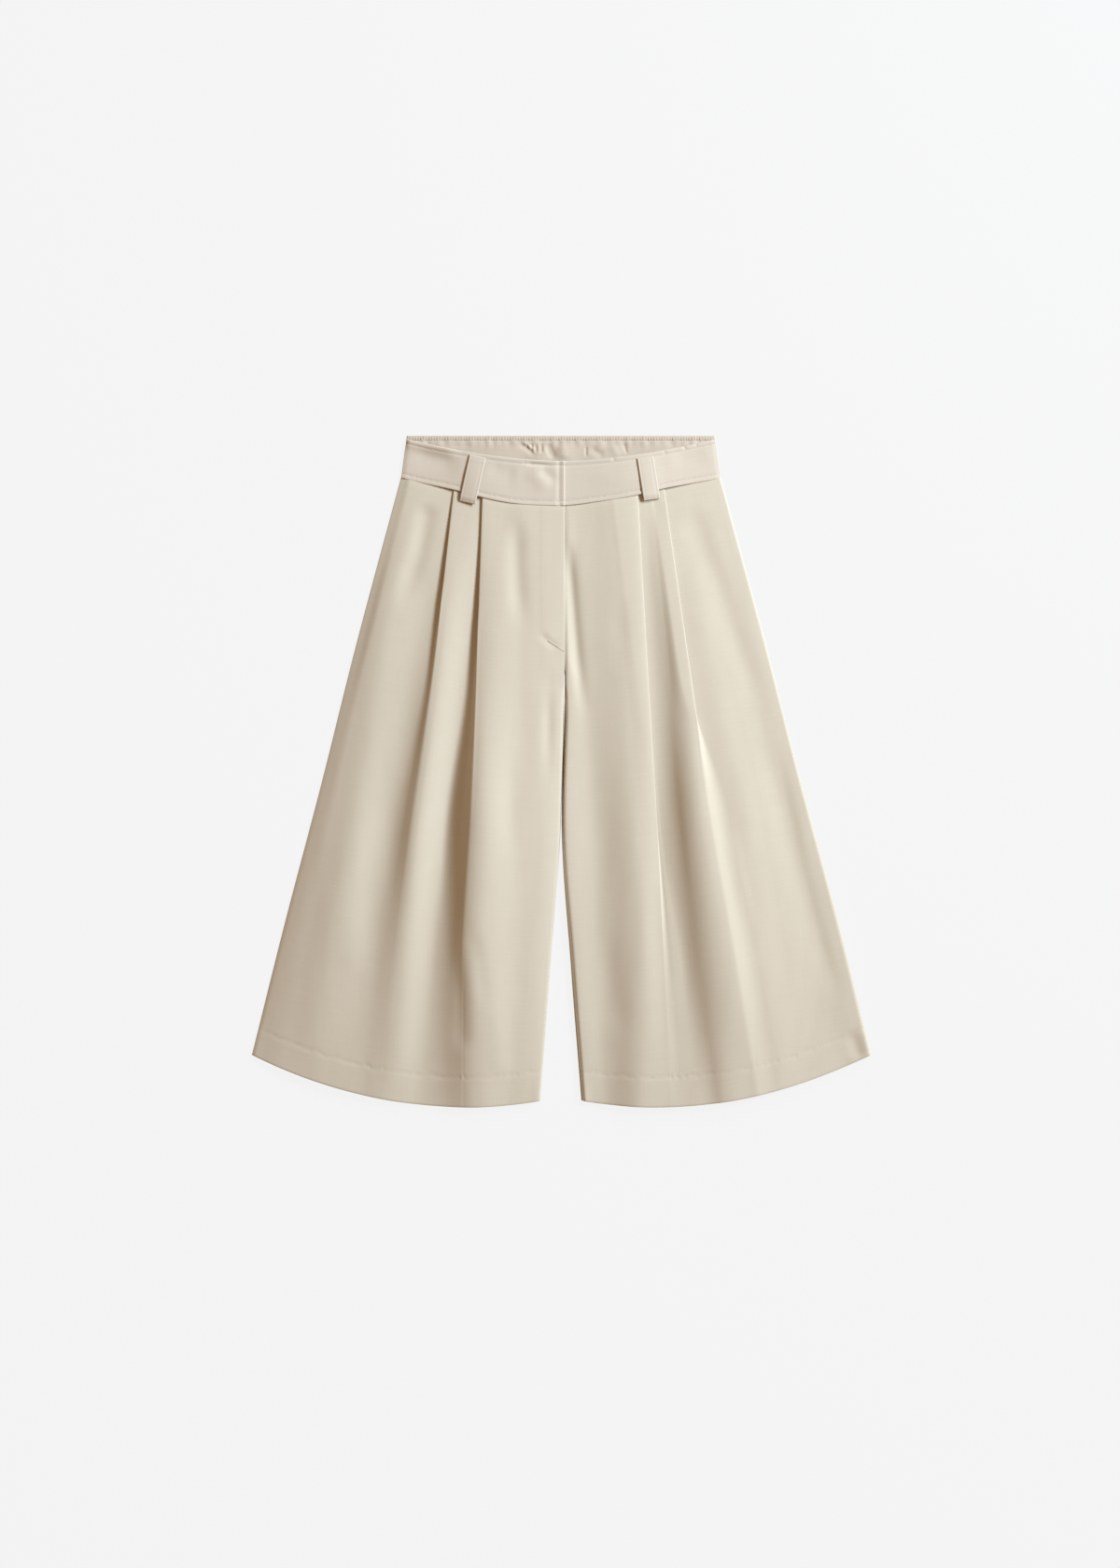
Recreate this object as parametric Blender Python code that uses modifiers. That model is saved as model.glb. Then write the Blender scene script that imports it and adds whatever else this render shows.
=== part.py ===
"""Pleated bermuda shorts, laid flat on their back.

Metres, +Z up. The shorts lie on the plane z = 0 with the waist towards +Y and the front facing +Z.
Right and left are the wearer's, so the right leg lies at -X. The origin is on that plane, under the
middle of the garment.

Each cloth piece is a wall. A front leg panel is a loft of sections across the leg: fold lines run
from the waist seam to the hem, each section is a smooth curve through them, and a pleat is an
S-shaped turn in it. The tables below are in millimetres and hold one row for each fold line,
pleat or station of a waistband.
"""

import math
from collections import namedtuple

import bmesh
import bpy
from mathutils import Vector

MM = 0.001

# Cloth and seams, in mm
CLOTH = 1.0
BAND_CLOTH = 1.5
BACK_BAND_CLOTH = 1.2
LOOP_CLOTH = 1.4
SEAM_GAP = 0.3
WAIST_SEAM_GAP = 0.5
SEAM_HEIGHT = CLOTH + SEAM_GAP + CLOTH / 2

# Outline, in mm: across is the distance from the middle line, along is towards the waist
WAIST_HALF = 162.0
WAIST_SIDE = 297.8
WAIST_DIP = 27.5
WAIST_ROUNDNESS = 1.6
RIM_HALF = 156.7
RIM_SIDE = 337.3
RIM_DIP = 22.6
RIM_ROUNDNESS = 1.75
BACK_RIM = 341.0
HEM_LOWEST = -341.0
HEM_LOWEST_ACROSS = 96.0
HEM_RADIUS = 452.0

# The fly lap lies on the left front, above the crotch
FLY_HEIGHT_RIGHT = 8.8
FLY_HEIGHT_LEFT = 7.3
CROTCH = 0.30
CROTCH_RUN = 0.07

# Shares of the length from waist seam to hem, where the tables give their values
STATIONS = (0.0, 0.30, 0.53, 0.78, 1.0)  # waist, crotch, thigh, knee, hem

# A fold line: its distance from the middle line and its height, at the five stations
Line = namedtuple("Line", "name across height")

# A pleat: where its fold edge lies, the height of the cloth on it, how far the cloth drops beyond
# it, and its spread: below 0 the cloth is tucked back under by that much, above 0 it lies open
Pleat = namedtuple("Pleat", "name across height drop spread")

RIGHT_FRONT = (
    Line("centre_seam", (-3.3, -3.1, 0.3, 11.2, 21.4), None),
    Line("centre_roll", (0.7, 0.6, 4.6, 15.4, 25.4), (8.9, 9.2, 7.4, 6.6, 6.0)),
    Line("slope", (36, 38, 42, 43, 52), (9.2, 13.0, 15.5, 11.5, 8.5)),
    Pleat(
        "inner_pleat",
        (81.2, 90.3, 97.0, 104.0, 112.0),
        (9.2, 18.0, 23.5, 17.5, 11.0),
        (3.3, 8.0, 15.0, 11.0, 4.5),
        (-22, -3, 26, 44, 52),
    ),
    Pleat(
        "outer_pleat",
        (110.0, 134.9, 155.0, 175.0, 190.0),
        (5.9, 14.0, 12.5, 11.0, 8.2),
        (3.3, 9.3, 7.5, 3.5, 0.8),
        (-20, -1, 22, 28, 30),
    ),
    Line("side_crest", (140, 186, 217, 238, 246), (3.4, 7.8, 8.6, 10.0, 8.0)),
    Line("side_roll", (157.4, 206.0, 239.2, 278.6, 308.0), (2.6, 4.6, 4.8, 5.2, 5.0)),
    Line("side_seam", (162.4, 212.0, 245.2, 284.6, 314.0), (SEAM_HEIGHT,) * 5),
)

LEFT_FRONT = (
    Line("centre_seam", (3.9, 4.7, 2.4, 11.2, 21.4), None),
    Line("centre_roll", (7.9, 8.4, 6.6, 15.2, 25.4), (7.6, 8.3, 8.4, 7.8, 6.4)),
    Line("inner_trough", (15, 27, 34, 39, 42), (7.7, 6.8, 5.2, 6.8, 7.0)),
    Line("inner_crest", (48, 64, 66, 72, 70), (9.2, 9.0, 9.4, 12.0, 12.0)),
    Pleat(
        "inner_pleat",
        (78.1, 87.4, 93.6, 106.0, 115.0),
        (9.2, 8.7, 7.9, 12.4, 12.5),
        (3.3, 3.4, 3.6, 4.4, 4.6),
        (-22, -8, 5, 35, 52),
    ),
    Line("pleat_trough", (70, 92, 103, 132, 154), (5.9, 5.0, 4.2, 8.0, 7.8)),
    Pleat(
        "outer_pleat",
        (104.5, 131.6, 152.5, 181.9, 204.0),
        (5.9, 11.0, 17.0, 18.0, 12.0),
        (3.3, 3.7, 5.0, 5.0, 2.5),
        (-20, -5, 22, 28, 30),
    ),
    Line("side_shelf", (128, 166, 197, 222, 238), (3.4, 8.2, 11.0, 12.0, 8.8)),
    Line("side_low", (146, 192, 226, 262, 284), (2.9, 6.2, 6.6, 7.0, 6.2)),
    Line("side_roll", (156.0, 203.2, 237.2, 276.2, 307.4), (2.6, 4.8, 5.0, 5.2, 5.0)),
    Line("side_seam", (161.4, 209.0, 243.2, 282.4, 314.0), (SEAM_HEIGHT,) * 5),
)

# A pleat's roundness where it is folded shut and where it lies open, and its tightest turn in mm
FOLDED_ROUNDNESS = 0.6
OPEN_ROUNDNESS = 0.95
TIGHTEST_TURN = 0.82
PLEAT_LEAD = 1.5

# Height of the front waistband's middle at its seam and at its rim, by distance from the middle line
BandRow = namedtuple("BandRow", "across seam rim")
FRONT_BAND = (
    BandRow(0, 9.2, 8.4),
    BandRow(60, 9.3, 8.2),
    BandRow(84, 8.8, 7.4),
    BandRow(108, 6.3, 5.6),
    BandRow(135, 3.9, 3.6),
    BandRow(162, 2.35, 2.35),
)
LAP_END = 3.9  # the lap's edge, past the middle line
UNDERLAP_END = -26.0
UNDERLAP_DROP = 2.0
UNDERLAP_START = 4.9  # the left waistband is sunk all the way up to here, and rises beyond
UNDERLAP_RUN = 9.0

# Elastic gathers in the back waistband
GATHERS = 14
GATHER_DEPTH = 0.5
GATHER_FADE = 4  # the power by which the gathers and the rim's roll die away at the side seams
RIM_ROLL = 0.9
RIM_ROLL_WIDTH = 6.0
BACK_RIM_HALF = 156.3

# A belt loop: where its top and its bottom lie, its width and how far it stands off the waistband
Loop = namedtuple("Loop", "top bottom width stand")
LOOP_RIGHT = Loop((-84.6, 319.4), (-95.0, 272.6), 16.5, 2.2)
LOOP_LEFT = Loop((85.5, 318.6), (92.4, 275.6), 16.5, 2.2)
LOOP_LIFT = BAND_CLOTH / 2 + SEAM_GAP + LOOP_CLOTH / 2
LOOP_ARCH = 0.7  # below 1 the loop rises steeply at its ends

# Mesh fineness
ROWS = 21
SMOOTH_STEPS = 2
ARC_STEPS = 3
BAND_COLUMNS = 26
BAND_ROWS = 3
BACK_BAND_RINGS = 57
LOOP_ROWS = 9
LOOP_COLUMNS = 2
OUTLINE_STEPS = 14

STONE = (0.60, 0.53, 0.43, 1.0)
STONE_DARK = (0.53, 0.46, 0.37, 1.0)
CLOTH_ROUGHNESS = 0.8


def smooth(share):
    """0 to 1 with level ends."""
    share = min(max(share, 0.0), 1.0)
    return share * share * (3 - 2 * share)


def slopes_at(places, values):
    """The slope at each place of the smooth curve that never overshoots its values."""
    rises = [
        (values[i + 1] - values[i]) / max(places[i + 1] - places[i], 1e-6)
        for i in range(len(places) - 1)
    ]
    slopes = [rises[0]]
    for before, after in zip(rises, rises[1:]):
        same_way = before * after > 0
        slopes.append(2 * before * after / (before + after) if same_way else 0.0)
    slopes.append(rises[-1])
    return slopes


def hermite(start, end, rise_start, rise_end, run, share):
    """The cubic between two values with given slopes, at a share of its run."""
    squared = share * share
    cubed = squared * share
    return (
        start * (2 * cubed - 3 * squared + 1)
        + end * (3 * squared - 2 * cubed)
        + run * rise_start * (cubed - 2 * squared + share)
        + run * rise_end * (cubed - squared)
    )


def curve_through(places, values, at):
    """The value at a place, on the smooth curve through the table's values."""
    slopes = slopes_at(places, values)
    at = min(max(at, places[0]), places[-1])
    last = len(places) - 2
    i = min(sum(at >= place for place in places[1:]), last)
    run = places[i + 1] - places[i]
    share = (at - places[i]) / run
    return hermite(values[i], values[i + 1], slopes[i], slopes[i + 1], run, share)


def waist_seam(across):
    """How far along the waist seam lies: highest at the sides, lowest in the middle."""
    share = min(abs(across) / WAIST_HALF, 1.0)
    return WAIST_SIDE - WAIST_DIP * (1 - share**WAIST_ROUNDNESS)


def front_rim(across):
    """How far along the front waistband's top edge lies."""
    share = min(abs(across) / RIM_HALF, 1.0)
    return RIM_SIDE - RIM_DIP * (1 - share**RIM_ROUNDNESS)


def hem(across):
    """How far along the hem lies: each leg's hem is a shallow arc."""
    return HEM_LOWEST + (across - HEM_LOWEST_ACROSS) ** 2 / (2 * HEM_RADIUS)


def centre_height(fly_height, share):
    """The centre edge lies level down the fly, then drops to the inseam below the crotch."""
    return fly_height + (SEAM_HEIGHT - fly_height) * smooth((share - CROTCH) / CROTCH_RUN)


def pleat_curve(across, height, drop, spread):
    """One pleat's section as points (across, height): two equal arcs and the line that joins them.

    The cloth lies level over the tuck and turns down at the fold edge. It runs back under by
    -spread, or outwards where spread is above 0, and turns level again at the bottom of its drop.
    """
    widest = (spread**2 + drop**2) / (4 * drop)
    if spread > 0:
        open_share = smooth(spread / drop)
        radius = widest * (FOLDED_ROUNDNESS + (OPEN_ROUNDNESS - FOLDED_ROUNDNESS) * open_share)
    else:
        radius = min(drop / 4, FOLDED_ROUNDNESS * widest)
    radius = max(radius, min(widest, TIGHTEST_TURN))
    centres = math.hypot(spread, drop - 2 * radius)
    turn = math.atan2(drop - 2 * radius, spread) + math.asin(min(2 * radius / centres, 1.0))
    straight = math.sqrt(max(centres**2 - 4 * radius**2, 0.0))
    start = across - radius * math.sin(min(turn, math.pi / 2))
    points = [(start - max(-spread, 0.0) - PLEAT_LEAD, height)]
    for i in range(ARC_STEPS + 1):
        angle = turn * i / ARC_STEPS
        points.append((start + radius * math.sin(angle), height - radius * (1 - math.cos(angle))))
    foot = points[-1][0] + straight * math.cos(turn)
    floor = points[-1][1] - straight * math.sin(turn)
    for i in range(ARC_STEPS + 1):
        angle = turn * (1 - i / ARC_STEPS)
        points.append(
            (
                foot + radius * (math.sin(turn) - math.sin(angle)),
                floor - radius * (math.cos(angle) - math.cos(turn)),
            )
        )
    return points


def front_section(rows, fly_height, share):
    """The section across a front panel at a share of its length, as points (across, height)."""
    chains = []
    for row in rows:
        across = curve_through(STATIONS, row.across, share)
        if row.height is None:
            chains.append([(across, centre_height(fly_height, share))])
            continue
        height = curve_through(STATIONS, row.height, share)
        if isinstance(row, Line):
            chains.append([(across, height)])
            continue
        drop = curve_through(STATIONS, row.drop, share)
        spread = curve_through(STATIONS, row.spread, share)
        chains.append(pleat_curve(across, height, drop, spread))
    return joined(chains)


def joined(chains):
    """The chains of points as one, with smooth stretches between them."""
    slopes = stretch_slopes(chains)
    points = list(chains[0])
    for (start, end), (rise_start, rise_end) in zip(zip(chains, chains[1:]), slopes):
        (from_across, from_height), (to_across, to_height) = start[-1], end[0]
        run = to_across - from_across
        for step in range(1, SMOOTH_STEPS):
            share = step / SMOOTH_STEPS
            height = hermite(from_height, to_height, rise_start, rise_end, run, share)
            points.append((from_across + run * share, height))
        points.extend(end)
    return points


def stretch_slopes(chains):
    """The slopes at both ends of each stretch: level at a pleat, smooth through a fold line."""
    rises = [
        (end[0][1] - start[-1][1]) / (end[0][0] - start[-1][0])
        for start, end in zip(chains, chains[1:])
    ]
    through = [rises[0]]
    for chain, before, after in zip(chains[1:], rises, rises[1:]):
        smooth_here = len(chain) == 1 and before * after > 0
        through.append(2 * before * after / (before + after) if smooth_here else 0.0)
    through.append(rises[-1])
    return list(zip(through, through[1:]))


def front_grid(rows, fly_height, side):
    """The front panel's points, row by row from the waist seam to the hem."""
    top = front_section(rows, fly_height, 0.0)
    bottom = front_section(rows, fly_height, 1.0)
    grid = []
    for row in range(ROWS):
        share = row / (ROWS - 1)
        section = front_section(rows, fly_height, share)
        line = []
        for (across, height), (top_across, _), (bottom_across, _) in zip(section, top, bottom):
            start = waist_seam(top_across) - WAIST_SEAM_GAP / 2
            along = start + (hem(bottom_across) - start) * share
            line.append(Vector((side * across, along, height)) * MM)
        grid.append(line)
    return grid


def material(name, colour, roughness):
    """A plain cloth finish."""
    made = bpy.data.materials.new(name)
    made.use_nodes = True
    shader = made.node_tree.nodes["Principled BSDF"]
    shader.inputs["Base Color"].default_value = colour
    shader.inputs["Roughness"].default_value = roughness
    shader.inputs["Metallic"].default_value = 0.0
    return made


def add_object(name, data, collection, colour, roughness=CLOTH_ROUGHNESS):
    """An object for a mesh or a curve, in the collection and with a finish of its own."""
    made = bpy.data.objects.new(name, data)
    made.data.materials.append(material(name, colour, roughness))
    collection.objects.link(made)
    return made


def wall(name, grid, thickness, collection, colour):
    """A cloth piece: the open surface through a grid of points, facing up, given a wall."""
    mesh = bpy.data.meshes.new(name)
    shape = bmesh.new()
    rows = [[shape.verts.new(point) for point in line] for line in grid]
    for upper, lower in zip(rows, rows[1:]):
        for i in range(len(upper) - 1):
            shape.faces.new((upper[i], lower[i], lower[i + 1], upper[i + 1]))
    shape.normal_update()
    if sum(face.normal.z * face.calc_area() for face in shape.faces) < 0:
        bmesh.ops.reverse_faces(shape, faces=shape.faces[:])
    shape.to_mesh(mesh)
    shape.free()
    mesh.shade_smooth()
    made = add_object(name, mesh, collection, colour)
    solidify = made.modifiers.new("wall", "SOLIDIFY")
    solidify.thickness = thickness * MM
    solidify.offset = 0.0
    solidify.use_even_offset = False
    return made


def add_back_panel(name, rows, side, collection):
    """A back leg panel: its flat outline, as thick as its cloth, lying on z = 0."""
    centre, seam = rows[0].across, rows[-1].across
    outline = []
    for row in range(OUTLINE_STEPS + 1):
        share = row / OUTLINE_STEPS
        outline.append((curve_through(STATIONS, centre, share), share, centre))
    for column in range(1, OUTLINE_STEPS):
        across = centre[-1] + (seam[-1] - centre[-1]) * column / OUTLINE_STEPS
        outline.append((across, 1.0, None))
    for row in range(OUTLINE_STEPS, -1, -1):
        share = row / OUTLINE_STEPS
        outline.append((curve_through(STATIONS, seam, share), share, seam))
    curve = bpy.data.curves.new(name, "CURVE")
    curve.dimensions = "2D"
    curve.fill_mode = "BOTH"
    curve.extrude = CLOTH / 2 * MM
    spline = curve.splines.new("POLY")
    spline.points.add(len(outline) - 1)
    spline.use_cyclic_u = True
    start = WAIST_SIDE - SEAM_GAP / 2
    for point, (across, share, edge) in zip(spline.points, outline):
        end = hem(edge[-1]) if edge else hem(across)
        point.co = (side * across * MM, (start + (end - start) * share) * MM, 0, 1)
    made = add_object(name, curve, collection, STONE_DARK)
    made.location.z = CLOTH / 2 * MM
    return made


def band_height(across, rise):
    """Height of the front waistband's middle: rise is 0 at the seam and 1 at the rim."""
    places = [row.across for row in FRONT_BAND]
    at_seam = curve_through(places, [row.seam for row in FRONT_BAND], abs(across))
    at_rim = curve_through(places, [row.rim for row in FRONT_BAND], abs(across))
    return at_seam + (at_rim - at_seam) * rise


def underlap(across):
    """How far the left waistband's end sinks to run under the lap."""
    return UNDERLAP_DROP * (1 - smooth((across - UNDERLAP_START) / UNDERLAP_RUN))


def unsunk(across):
    """The right waistband lies on top all along."""
    return 0.0


def band_grid(start, end, side, sink):
    """The front waistband's points from start to end, given as distances along its seam."""
    grid = []
    for row in range(BAND_ROWS + 1):
        rise = row / BAND_ROWS
        line = []
        for column in range(BAND_COLUMNS + 1):
            across = start + (end - start) * column / BAND_COLUMNS
            narrowed = across * (1 + (RIM_HALF / WAIST_HALF - 1) * rise * abs(across) / WAIST_HALF)
            low = waist_seam(across) + WAIST_SEAM_GAP / 2
            high = front_rim(narrowed)
            height = band_height(across, rise) - sink(across)
            line.append(Vector((side * narrowed, low + (high - low) * rise, height)) * MM)
        grid.append(line)
    return grid


def add_back_band(name, collection):
    """The back waistband: a flat-bottomed wall, thicker at its rolled rim, ribbed by its gathers."""
    bottom = WAIST_SIDE + SEAM_GAP / 2
    rings = []
    for i in range(BACK_BAND_RINGS):
        share = 2 * i / (BACK_BAND_RINGS - 1) - 1
        fade = 1 - abs(share) ** GATHER_FADE
        rib = GATHER_DEPTH * fade * (1 - math.cos(math.pi * GATHERS * (share + 1))) / 2
        profile = (
            (bottom, 0.0),
            (BACK_RIM, 0.0),
            (BACK_RIM, BACK_BAND_CLOTH + RIM_ROLL * fade),
            (BACK_RIM - RIM_ROLL_WIDTH, BACK_BAND_CLOTH),
            ((BACK_RIM + bottom) / 2, BACK_BAND_CLOTH + rib),
            (bottom, BACK_BAND_CLOTH),
        )
        ring = []
        for along, height in profile:
            rise = (along - bottom) / (BACK_RIM - bottom)
            half = WAIST_HALF + (BACK_RIM_HALF - WAIST_HALF) * rise
            ring.append(Vector((share * half, along, height)) * MM)
        rings.append(ring)
    mesh = bpy.data.meshes.new(name)
    shape = bmesh.new()
    made_rings = [[shape.verts.new(point) for point in ring] for ring in rings]
    for near, far in zip(made_rings, made_rings[1:]):
        for i, point in enumerate(near):
            after = (i + 1) % len(near)
            shape.faces.new((point, near[after], far[after], far[i]))
    shape.faces.new(made_rings[0])
    shape.faces.new(made_rings[-1])
    bmesh.ops.recalc_face_normals(shape, faces=shape.faces[:])
    shape.to_mesh(mesh)
    shape.free()
    return add_object(name, mesh, collection, STONE_DARK)


def loop_grid(loop):
    """A belt loop's points: it is sewn down at both ends and stands off between them."""
    (top_x, top_y), (bottom_x, bottom_y) = loop.top, loop.bottom
    length = math.hypot(top_x - bottom_x, top_y - bottom_y)
    sideways = (-(bottom_y - top_y) / length, (bottom_x - top_x) / length)
    grid = []
    for row in range(LOOP_ROWS + 1):
        share = row / LOOP_ROWS
        middle_x = top_x + (bottom_x - top_x) * share
        middle_y = top_y + (bottom_y - top_y) * share
        low, high = waist_seam(middle_x), front_rim(middle_x)
        rise = min(max((middle_y - low) / (high - low), 0.0), 1.0)
        stand = loop.stand * max(math.sin(math.pi * share), 0.0) ** LOOP_ARCH
        line = []
        for column in range(LOOP_COLUMNS + 1):
            offset = loop.width * (column / LOOP_COLUMNS - 0.5)
            x = middle_x + sideways[0] * offset
            height = band_height(x, rise) + LOOP_LIFT + stand
            line.append(Vector((x, middle_y + sideways[1] * offset, height)) * MM)
        grid.append(line)
    return grid


def clear_scene():
    """Remove what a new scene holds."""
    for old in list(bpy.data.objects):
        bpy.data.objects.remove(old, do_unlink=True)


def main():
    """Build the nine cloth pieces in one collection."""
    clear_scene()
    shorts = bpy.data.collections.new("pleated_bermuda_shorts")
    bpy.context.scene.collection.children.link(shorts)
    right = front_grid(RIGHT_FRONT, FLY_HEIGHT_RIGHT, -1)
    left = front_grid(LEFT_FRONT, FLY_HEIGHT_LEFT, 1)
    wall("front_right", right, CLOTH, shorts, STONE)
    wall("front_left", left, CLOTH, shorts, STONE)
    add_back_panel("back_right", RIGHT_FRONT, -1, shorts)
    add_back_panel("back_left", LEFT_FRONT, 1, shorts)
    band_right = band_grid(-LAP_END, WAIST_HALF, -1, unsunk)
    band_left = band_grid(UNDERLAP_END, WAIST_HALF, 1, underlap)
    wall("waistband_front_right", band_right, BAND_CLOTH, shorts, STONE)
    wall("waistband_front_left", band_left, BAND_CLOTH, shorts, STONE)
    add_back_band("waistband_back", shorts)
    wall("belt_loop_right", loop_grid(LOOP_RIGHT), LOOP_CLOTH, shorts, STONE)
    wall("belt_loop_left", loop_grid(LOOP_LEFT), LOOP_CLOTH, shorts, STONE)


main()
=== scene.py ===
"""The looks of a pair of pleated bermuda shorts, laid flat on their back on a pale floor.

The scene is in metres, +Z up, with the waist towards +Y and the front facing +Z. Right and left are
the wearer's, so the right leg lies at -X. The tables and the sizes of the classes are in millimetres,
as a pattern cutter would write them, and a piece is turned into metres when its mesh is made.

Every cloth piece is a thin closed shell. A leg panel is a loft of sections: its fold lines run from
the waist seam to the hem, a pleat is an S-shaped turn, and listed creases lie on top of both.
"""

from __future__ import annotations

import logging
import math
from collections.abc import Sequence
from dataclasses import dataclass, replace
from enum import Enum

import bpy
import numpy as np
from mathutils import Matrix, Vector


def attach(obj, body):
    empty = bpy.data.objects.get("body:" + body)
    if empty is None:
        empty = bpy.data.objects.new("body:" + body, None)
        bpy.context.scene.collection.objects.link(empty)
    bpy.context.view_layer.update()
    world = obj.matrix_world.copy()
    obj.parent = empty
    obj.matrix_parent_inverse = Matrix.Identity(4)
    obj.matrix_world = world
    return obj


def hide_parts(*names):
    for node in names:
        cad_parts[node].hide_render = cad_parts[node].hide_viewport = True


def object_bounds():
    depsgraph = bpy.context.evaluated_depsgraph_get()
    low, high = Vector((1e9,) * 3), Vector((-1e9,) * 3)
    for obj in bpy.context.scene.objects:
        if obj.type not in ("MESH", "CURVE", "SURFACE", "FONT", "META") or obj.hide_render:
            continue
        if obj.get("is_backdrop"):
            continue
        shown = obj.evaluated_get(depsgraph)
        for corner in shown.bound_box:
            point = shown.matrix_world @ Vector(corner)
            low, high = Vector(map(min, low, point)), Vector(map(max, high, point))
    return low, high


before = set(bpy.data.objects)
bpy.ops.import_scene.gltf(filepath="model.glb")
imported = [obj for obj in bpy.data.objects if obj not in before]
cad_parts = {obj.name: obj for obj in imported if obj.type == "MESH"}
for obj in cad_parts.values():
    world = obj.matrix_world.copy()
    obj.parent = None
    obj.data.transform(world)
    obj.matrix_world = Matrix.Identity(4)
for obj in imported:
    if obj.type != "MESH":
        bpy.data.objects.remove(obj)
CAD_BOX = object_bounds()

log = logging.getLogger("shorts")

MM = 0.001
BODY = "root"
UV_NAME = "weave"
Numbers = np.ndarray | float  # one number, or one for each place

# Outline, in mm: across is the distance from the middle line, along is towards the waist
WAIST_HALF = 162.0
WAIST_SIDE = 297.8
WAIST_DIP = 27.5
WAIST_ROUNDNESS = 1.6
RIM_HALF = 156.7
RIM_SIDE = 337.3
RIM_DIP = 22.6
RIM_ROUNDNESS = 1.75
BACK_RIM = 341.0
HEM_LOWEST = -341.0
HEM_LOWEST_ACROSS = 96.0
HEM_RADIUS = 452.0
HEM_DEPTH = 30.0
FRONT_LENGTH = 612.0  # from the waist seam's lowest point to the hem
LAP_END = 3.9  # how far the right waistband's end passes the middle
LAP_STITCH = 5.3  # from that end to the stitching across it
UNDERLAP = 26.0  # how far the left waistband's end runs past the middle, under the lap

# Shares of the length from waist seam to hem, where the tables give their values
STATIONS = (0.0, 0.30, 0.53, 0.78, 1.0)  # waist, crotch, thigh, knee, hem
CROTCH = 0.30
CROTCH_RUN = 0.07
UNDERLAP_END = 0.06  # how far above the crotch the cloth under the fly's edge starts to end
FACING_END = 0.05  # the same for the fly's facing
FLY_FADE = 0.05

# Cloth, in mm
CLOTH = 0.55
SEAM_LINE = 1.3  # height of the side seams and inseams
SEAM_ALLOWED = 0.3  # how far a front panel runs up under the waistband
HEM_STACK = 0.85  # how far four layers of hem lift the seam there
HEM_STACK_RUN = 45.0
HEM_FOLD = 0.34  # half the distance between the cloth and its turned-up hem
HEM_FOLD_STEPS = 5
HEM_SEED = 21
FACING_WIDTH = 20.0  # the fly's facing, from the fly's edge to where its thickness starts to end
FACING_EDGE = 6.0
CREASE_STEPS = 28  # stretches that a crease's line is made of

# A pleat's roundness where it is folded shut and where it lies open, and its tightest turn in mm
FOLDED_ROUNDNESS = 0.6
OPEN_ROUNDNESS = 0.95
TIGHTEST_TURN = 0.42
PLEAT_LEAD = 1.5  # how far before a pleat's edge its own columns start, in mm
TUCK_CROWDING = 1.6  # the power that brings those columns closer together next to the edge
MOST_TILT = 0.6  # the share of a pleat's turn that its brow or foot may take up


class Side(Enum):
    """The wearer's side that a piece is on, with the sign of its X."""

    RIGHT = -1
    LEFT = 1


@dataclass(frozen=True)
class FoldLine:
    """A line that the cloth runs through: distance from the middle and height at the stations.

    slope is the cloth's rise away from the middle as it crosses the line, or None for an even run.
    """

    name: str
    across: tuple[float, ...]
    height: tuple[float, ...] | None
    slope: tuple[float, ...] | None = None


@dataclass(frozen=True)
class Pleat:
    """A pleat: its fold edge, the cloth's height on it, its drop, and its spread beyond the edge.

    A spread below 0 tucks the cloth back under by that much, above 0 the cloth lies open. brow is
    the slope with which the cloth rolls over to the edge, within about brow_width of it, and foot
    the slope with which the cloth below leaves the pleat.
    """

    name: str
    across: tuple[float, ...]
    height: tuple[float, ...]
    drop: tuple[float, ...]
    spread: tuple[float, ...]
    brow: tuple[float, ...]
    foot: tuple[float, ...]
    brow_width: float = 5.0
    open_crest: float = 0.25


@dataclass(frozen=True)
class Crease:
    """A soft ridge (height above 0) or trough (below 0) along a given line, in mm.

    left and right are its reach to either side, seen from the first point of its path to the last.
    fade_in and fade_out are the shares of the line over which it rises and dies away.
    """

    name: str
    path: tuple[tuple[float, float], ...]
    height: float
    left: float
    right: float
    fade_in: float = 0.35
    fade_out: float = 0.35

    def lift(self, x: np.ndarray, y: np.ndarray) -> np.ndarray:
        """How far the crease lifts the cloth.

        Args:
            x: places across, in mm.
            y: places along, in mm, of the same shape.

        Returns:
            The lift at each place, in mm.
        """
        line = smooth_path(self.path, CREASE_STEPS)
        best = np.full(x.shape, np.inf)
        signed = np.zeros(x.shape)
        share = np.zeros(x.shape)
        for step in range(len(line) - 1):
            start, run = line[step], line[step + 1] - line[step]
            length = float(run @ run)
            place = ((x - start[0]) * run[0] + (y - start[1]) * run[1]) / length
            near = np.clip(place, 0.0, 1.0)
            off_x = x - start[0] - near * run[0]
            off_y = y - start[1] - near * run[1]
            distance = np.hypot(off_x, off_y)
            closer = distance < best
            best = np.where(closer, distance, best)
            turn = run[0] * off_y - run[1] * off_x
            signed = np.where(closer, np.where(turn > 0, distance, -distance), signed)
            share = np.where(closer, (step + near) / (len(line) - 1), share)
        reach = np.where(signed > 0, self.left, self.right)
        ends = ease(share / self.fade_in) * ease((1 - share) / self.fade_out)
        return self.height * bell(signed, reach) * ends

    def mirrored(self, wider: float, lower: float) -> Crease:
        """The crease as it lies on the other leg, a little differently.

        Args:
            wider: how much further out it lies, as a factor.
            lower: how much nearer to the hem it lies, in mm.

        Returns:
            The other leg's crease.
        """
        path = tuple((-x * wider, y - lower) for x, y in self.path)
        return replace(self, path=path, left=self.right, right=self.left)


def crease_lift(creases: Sequence[Crease], x: np.ndarray, y: np.ndarray) -> np.ndarray:
    """How far several creases lift the cloth together, at each place (x, y), in mm."""
    return sum((crease.lift(x, y) for crease in creases), np.zeros(x.shape))


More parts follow.
